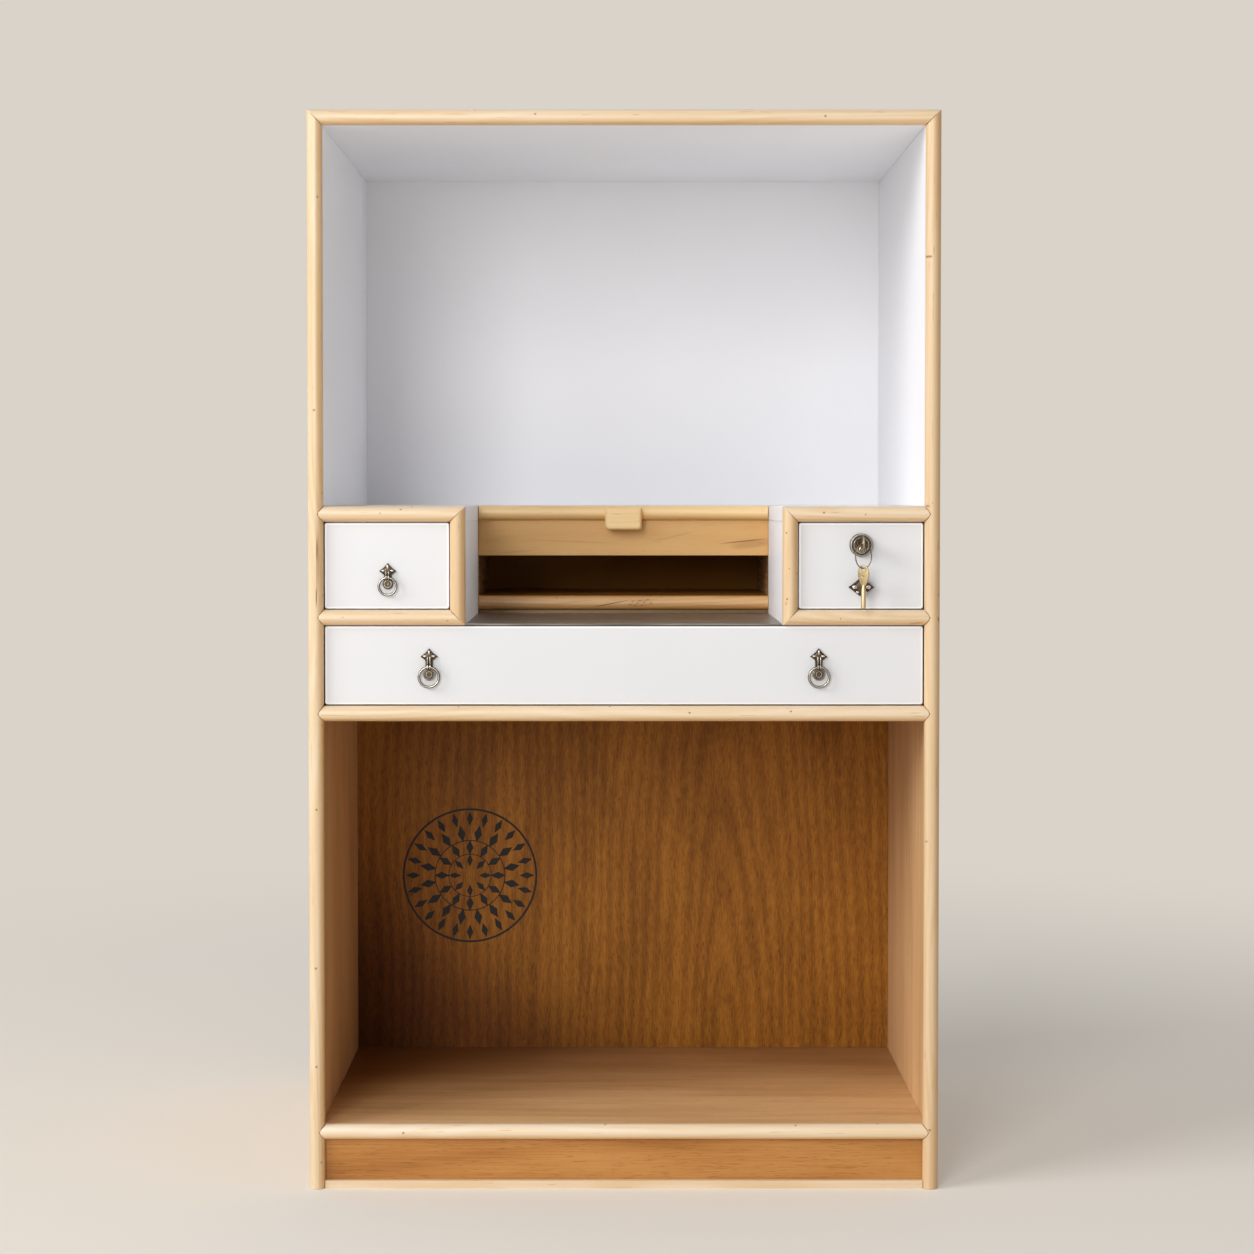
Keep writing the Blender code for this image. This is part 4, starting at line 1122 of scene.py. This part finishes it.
def stud(face, centre):
    """The shank through the drawer front and its head behind."""
    profile = [(2.0, FACE), (2.0, FRONT_BACK), (4.0, FRONT_BACK + 0.3 * MM), (4.0, -210.0 * MM)]
    profile = [(r * MM, y) for r, y in profile] + [(3.4 * MM, -209.55 * MM)]
    turned(face, profile, (centre[0], 0, centre[1]), sides=24)


def hoop(face, centre, outer, inner, base, proud, sides=48):
    """A rounded ring that stands on a face, from base to proud before the drawer front."""
    edge = (outer - inner) / 3
    profile = [
        (outer, base), (outer, proud - edge), (outer - edge, proud), (inner + edge, proud),
        (inner, proud - edge), (inner, base), (outer, base),
    ]
    turned(face, [(r * MM, FACE - h * MM) for r, h in profile], centre, sides)


# %% The pulls and their rings
PULL_LEAVES = [(0, 4.3, 1.3, 2.9), (-4.7, 0.4, 2.2, 1.4), (4.7, 0.4, 2.2, 1.4)]
NECK = 4.2 * MM
BRIGHT, DARK = 0, 1


def ring_pull(
    name, body, ring_body, x, eye, ring_middle, ring, ring_wire, boss_middle, boss, hoops,
    lozenge_middle, nodes,
):
    """A casting and its ring. eye is the depth and height of the ring's axis; boss is a
    radius in millimetres, and each hoop an outer and inner radius and how far it stands."""
    bm = bmesh.new()
    face = welder(bm)
    face.finish = DARK
    edge = [(0, 0), (1.7, 0), (2.3, 0.35), (2.3, 0.9), (1.7, 1.3), (2.2, 3.2)]
    rows = [(FACE - h * MM, inset * MM) for h, inset in edge]
    stack(face, lozenge(9.5 * MM, 9.0 * MM), rows, (x, lozenge_middle))
    top, bottom = lozenge_middle - 3.5 * MM, boss_middle + 2 * MM
    half = (top - bottom) / 2

    def neck(inset):
        wide = NECK - inset
        return [(wide, half), (-wide, half), (-wide + 0.5 * MM, -half), (wide - 0.5 * MM, -half)]

    rows = [(FACE, 0.0), (FACE - 1.5 * MM, 0.0), (FACE - 1.9 * MM, 0.4 * MM)]
    stack(face, neck, rows, (x, (top + bottom) / 2))
    profile = [(0, 0), (boss, 0), (boss, 1.4), (boss - 0.5, 1.9), (0, 2.0)]
    turned(face, [(r * MM, FACE - h * MM) for r, h in profile], (x, 0, boss_middle), sides=48)
    stud(face, (x, lozenge_middle))
    face.finish = BRIGHT
    leaves(face, (x, lozenge_middle), FACE - 2.2 * MM, PULL_LEAVES)
    for outer, inner, proud in hoops:
        hoop(face, (x, 0, boss_middle), outer, inner, 1.5, proud)
    eye_out, eye_in = ring_wire + 2.0 * MM, ring_wire + 0.8 * MM
    for side in (-1, 1):
        knuckle = [
            (eye_in, 0.35), (eye_out - 0.5 * MM, 0.35), (eye_out, 0.85), (eye_out, 1.75),
            (eye_out - 0.5 * MM, 2.2), (eye_in, 2.2), (eye_in, 0.35),
        ]
        profile = [(r, x + side * w * MM) for r, w in knuckle]
        turned(face, profile, (0, eye[0], eye[1]), sides=28, axis="X")
        low, high = eye[1] + ring_wire + 0.3 * MM, lozenge_middle + 0.8 * MM
        place = (x + side * 1.4 * MM, eye[0] - 1.5 * MM, (low + high) / 2)
        bead(face, place, (0.85 * MM, 1.4 * MM, (high - low) / 2))
    finish_piece(
        f"{name}_casting", bm, (nickel, dark_nickel), body, nodes[:1]
    )
    bm = bmesh.new()
    circle = [
        (x + ring * math.cos(a), eye[0], ring_middle + ring * math.sin(a)) for a in around(72)
    ]
    wire(welder(bm), circle, ring_wire)
    finish_piece(f"{name}_ring_wire", bm, ring_nickel, ring_body, nodes[1:])


SMALL_HOOPS = [(4.3, 3.1, 2.7), (1.3, 0.5, 2.6)]
WIDE_HOOPS = [(6.7, 5.9, 2.2), (5.1, 4.5, 2.2), (3.6, 2.4, 3.0)]
EYE_DEPTH = -233.95 * MM
ring_pull(
    "small_pull", "left_drawer", "small_ring", x=-258 * MM, eye=(EYE_DEPTH, 671.5 * MM),
    ring_middle=661.6 * MM, ring=9.5 * MM, ring_wire=1.3 * MM, boss_middle=664.2 * MM, boss=5.8,
    hoops=SMALL_HOOPS, lozenge_middle=678.2 * MM, nodes=["small_pull", "small_pull_ring"],
)
for sign, side in ((-1, "left"), (1, "right")):
    ring_pull(
        f"wide_pull_{side}", "wide_drawer", f"wide_ring_{side}", x=sign * 213 * MM,
        eye=(EYE_DEPTH, 573.8 * MM), ring_middle=562.5 * MM, ring=10.9 * MM, ring_wire=1.4 * MM,
        boss_middle=565.3 * MM, boss=7.0, hoops=WIDE_HOOPS, lozenge_middle=584.7 * MM,
        nodes=[f"wide_pull_{side}", f"wide_pull_{side}_ring"],
    )

# %% [markdown]
# ## The knob under the lock
#
# A larger lozenge on a short stem, cast with the same leaves, its lower point cut off.

# %% Knob
KNOB_MIDDLE = (259 * MM, 660.7 * MM)


def knob_outline(inset):
    points = lozenge(14.2 * MM, 11.8 * MM, hollow=0.05)(inset)
    cut = -9.6 * MM + inset
    return [(x, max(z, cut)) for x, z in points]


KNOB_LEAVES = [
    (-7.6, 0.2, 2.8, 2.2), (7.6, 0.2, 2.8, 2.2), (0, 6.2, 2.0, 2.6), (-4.2, -5.4, 1.9, 1.5),
    (4.2, -5.4, 1.9, 1.5),
]
bm = bmesh.new()
face = welder(bm)
face.finish = DARK
edge = [(3.5, 1.2), (4.3, 0), (6.4, 0.4), (7.2, 1.2), (7.2, 1.9), (6.5, 2.5), (7.0, 4.6)]
stack(face, knob_outline, [(FACE - h * MM, inset * MM) for h, inset in edge], KNOB_MIDDLE)
stem = [(0, 0), (5.2, 0), (4.5, 1.0), (4.5, 4.2), (0, 4.2)]
turned(face, [(r * MM, FACE - h * MM) for r, h in stem], (KNOB_MIDDLE[0], 0, KNOB_MIDDLE[1]))
stud(face, KNOB_MIDDLE)
face.finish = BRIGHT
leaves(face, KNOB_MIDDLE, FACE - 7.0 * MM, KNOB_LEAVES)
finish_piece(
    "knob_casting", bm, (nickel, dark_nickel), "right_drawer", ["lozenge_knob"]
)

# %% [markdown]
# ## Lock rosette
#
# The lock's body comes from the CAD. Its front is dressed as a stamped rosette: a rolled rim,
# a dark groove, an arch round the plug, and below the keyhole a small bright boss of fine
# rings.

# %% Rosette of the lock
ROSETTE = (259 * MM, 0, 706.7 * MM)
ORNAMENT = (259 * MM, 0, 701.8 * MM)
RIM = [
    (10.0, 3.2), (10.3, 4.5), (11.0, 5.2), (11.8, 5.1), (12.4, 4.4), (12.75, 3.0), (12.75, 0.0),
    (10.0, 0.0), (10.0, 3.2),
]
BOSS_NICKEL = 1
BOSS_RINGS = [
    (4.9, 3.6), (4.9, 4.8), (4.5, 5.2), (4.0, 5.2), (3.6, 4.7), (3.1, 4.7), (2.7, 5.5), (2.1, 5.7),
    (1.6, 5.1), (1.2, 5.1), (0.8, 5.8), (0, 5.9),
]

bm = bmesh.new()
face = welder(bm)
turned(face, [(r * MM, FACE - h * MM) for r, h in RIM], ROSETTE, sides=72)
face.finish = BOSS_NICKEL
turned(face, [(r * MM, FACE - h * MM) for r, h in BOSS_RINGS], ORNAMENT, sides=40)
hoop(face, ROSETTE, 8.6, 7.5, 3.6, 5.0, sides=64)
finish_piece("rosette_rim", bm, (rim_nickel, nickel), "right_drawer")

# %% [markdown]
# ## Keys
#
# The key in the lock is seen edge on; its twin hangs from a bent wire loop. A key's bow is a
# flat leaf with an eyelet and a pin hole, stamped from sheet and tumbled, so its edges are
# rounded. The outline is drawn as a flat curve with holes, and thickened with a bevel.

# %% A key bow
BOW_WIDTH, BOW_LENGTH, BOW_THICKNESS = 15 * MM, 25.8 * MM, 1.8 * MM
EYELET, EYELET_HEIGHT = 2.6 * MM, 21.2 * MM
PIN_HOLE, PIN_HEIGHT = 0.8 * MM, 13.7 * MM
BOW_EDGE = 0.3 * MM
SHANK = 2.6 * MM


def bow_faces(face, place):
    """The bow upright on its base, moved into place by a matrix."""
    fullest = 2 / 3 * math.sqrt(1 / 3)
    side = []
    for step in range(21):
        t = 1 - (1 - step / 20) ** 2
        side.append((BOW_WIDTH / 2 * t * math.sqrt(1 - t) / fullest, BOW_LENGTH * t))
    loops = [side + [(-x, z) for x, z in reversed(side[1:-1])]]
    for radius, height, count in ((EYELET, EYELET_HEIGHT, 32), (PIN_HOLE, PIN_HEIGHT, 16)):
        hole = [(radius * math.cos(a), height + radius * math.sin(a)) for a in around(count)]
        loops.append(hole)
    curve = bpy.data.curves.new("bow", "CURVE")
    curve.dimensions = "2D"
    curve.fill_mode = "BOTH"
    curve.extrude = BOW_THICKNESS / 2 - BOW_EDGE
    curve.bevel_depth = BOW_EDGE
    curve.bevel_resolution = 2
    curve.offset = -BOW_EDGE
    for loop in loops:
        spline = curve.splines.new("POLY")
        spline.points.add(len(loop) - 1)
        for point, (x, z) in zip(spline.points, loop):
            point.co = (x, z, 0, 1)
        spline.use_cyclic_u = True
    source = bpy.data.objects.new("bow", curve)
    scene.collection.objects.link(source)
    bpy.context.view_layer.update()
    seen = source.evaluated_get(bpy.context.evaluated_depsgraph_get())
    mesh = bpy.data.meshes.new_from_object(seen)
    stand = place @ Matrix.Rotation(math.pi / 2, 4, "X")
    for polygon in mesh.polygons:
        face(*[tuple(stand @ mesh.vertices[v].co) for v in polygon.vertices])
    bpy.data.objects.remove(source, do_unlink=True)


def shank_faces(face, place, length, bore):
    """The round shank below the bow, with a shoulder at the top and an open end."""
    profile = [
        (0, 5.2 * MM), (1.0 * MM, 4.8 * MM), (1.7 * MM, 3.0 * MM), (2.1 * MM, 0.6 * MM),
        (SHANK, -0.8 * MM), (SHANK, -length + 0.5 * MM), (SHANK - 0.4 * MM, -length),
        (bore, -length), (bore, -length + 6 * MM), (0, -length + 6 * MM),
    ]
    loops = [
        [tuple(place @ Vector((r * math.cos(a), r * math.sin(a), z))) for a in around(32)]
        for r, z in profile
    ]
    skin(face, loops)


# %% Key in the lock
KEY_AXIS = (259 * MM, 709.7 * MM)
KEY_BOW_BASE = -234.85 * MM

bm = bmesh.new()
face = welder(bm)
toward_viewer = Matrix.Translation((KEY_AXIS[0], KEY_BOW_BASE, KEY_AXIS[1])) @ Matrix.Rotation(
    math.pi / 2, 4, "X"
)
bow_faces(face, toward_viewer @ Matrix.Rotation(math.pi / 2, 4, "Z"))
shank_faces(face, toward_viewer, 3.6 * MM, 1.0 * MM)
plug = [
    (0, -208.7), (5.5, -208.7), (5.5, -230.9), (5.1, -231.35), (3.2, -231.35), (2.9, -231.1),
    (0, -231.1),
]
face.finish = DARK
turned(face, [(r * MM, y * MM) for r, y in plug], (KEY_AXIS[0], 0, KEY_AXIS[1]))
finish_piece("key_and_plug", bm, (dull_brass, dark_nickel), "key", ["key_in_lock"])

# %% Wire loop
LOOP_MIDDLE = (259 * MM, -256.05 * MM, 694.95 * MM)
LOOP_HALF = (8.65 * MM, 13.1 * MM)
bm = bmesh.new()
oval = [
    (
        LOOP_MIDDLE[0] + LOOP_HALF[0] * math.cos(a),
        LOOP_MIDDLE[1],
        LOOP_MIDDLE[2] + LOOP_HALF[1] * math.sin(a),
    )
    for a in around(80)
]
wire(welder(bm), oval, 0.6 * MM, sides=12)
finish_piece("key_wire", bm, wire_nickel, "key_loop", ["key_loop"])

# %% Spare key
SPARE_BASE = (259 * MM, -256.05 * MM, 659.55 * MM)
bm = bmesh.new()
face = welder(bm)
hanging = Matrix.Translation(SPARE_BASE) @ Matrix.Rotation(math.radians(-45), 4, "Z")
bow_faces(face, hanging)
shank_faces(face, hanging, 21.2 * MM, 1.3 * MM)
finish_piece("spare_key_stamped", bm, brass, "spare_key", ["spare_key"])

# %% [markdown]
# ## A printed rosette
#
# The brown back carries a print in matt black, low on the left. It is a plain geometric
# rosette: rings of lozenges and three fine circles, made as ink films 0.15 mm thick on the
# panel.

# %% Ink and rosette
ink, tree, shader = start("matt_black_ink", 0.7)
space = millimetres(tree)
cover = clouds(tree, space, (4, 4, 4), 0, 1, detail=3)
black = add(tree, "ShaderNodeValToRGB", {0: cover}, stops=[(0.0, "#0f0d0b"), (1.0, "#1c1712")])
tree.links.new(black.outputs[0], shader.inputs["Base Color"])

PANEL = 147.80 * MM
FILM = 0.15 * MM
MOTIF = (-191 * MM, 287 * MM)
LOZENGE_RINGS = [
    (24, 71, 9.5, 4.0, 0), (16, 53, 10.5, 5.0, 0.5), (12, 35, 9.5, 4.5, 0), (8, 19, 8.0, 3.6, 0),
]
CIRCLES = [(84, 81.5), (44.3, 43.1), (27.0, 26.0)]

bm = bmesh.new()
face = welder(bm)
for count, radius, long, wide, shift in LOZENGE_RINGS:
    for k in range(count):
        a = math.tau * (k + shift) / count
        out, side = Vector((math.cos(a), math.sin(a))), Vector((-math.sin(a), math.cos(a)))
        corners = [radius * out + d for d in (long * out, wide * side, -long * out, -wide * side)]
        loops = [
            [(MOTIF[0] + c.x * MM, y, MOTIF[1] + c.y * MM) for c in corners]
            for y in (PANEL, PANEL - FILM)
        ]
        for loop in loops:
            face(*loop)
        skin(face, loops)
for outer, inner in CIRCLES:
    rims = ((outer, PANEL), (outer, PANEL - FILM), (inner, PANEL - FILM), (inner, PANEL))
    edges = []
    for radius, y in rims:
        r = radius * MM
        edges.append(
            [(MOTIF[0] + r * math.cos(a), y, MOTIF[1] + r * math.sin(a)) for a in around(96)]
        )
    skin(face, [edges[-1], *edges])
finish_piece("printed_rosette", bm, ink, "cabinet")
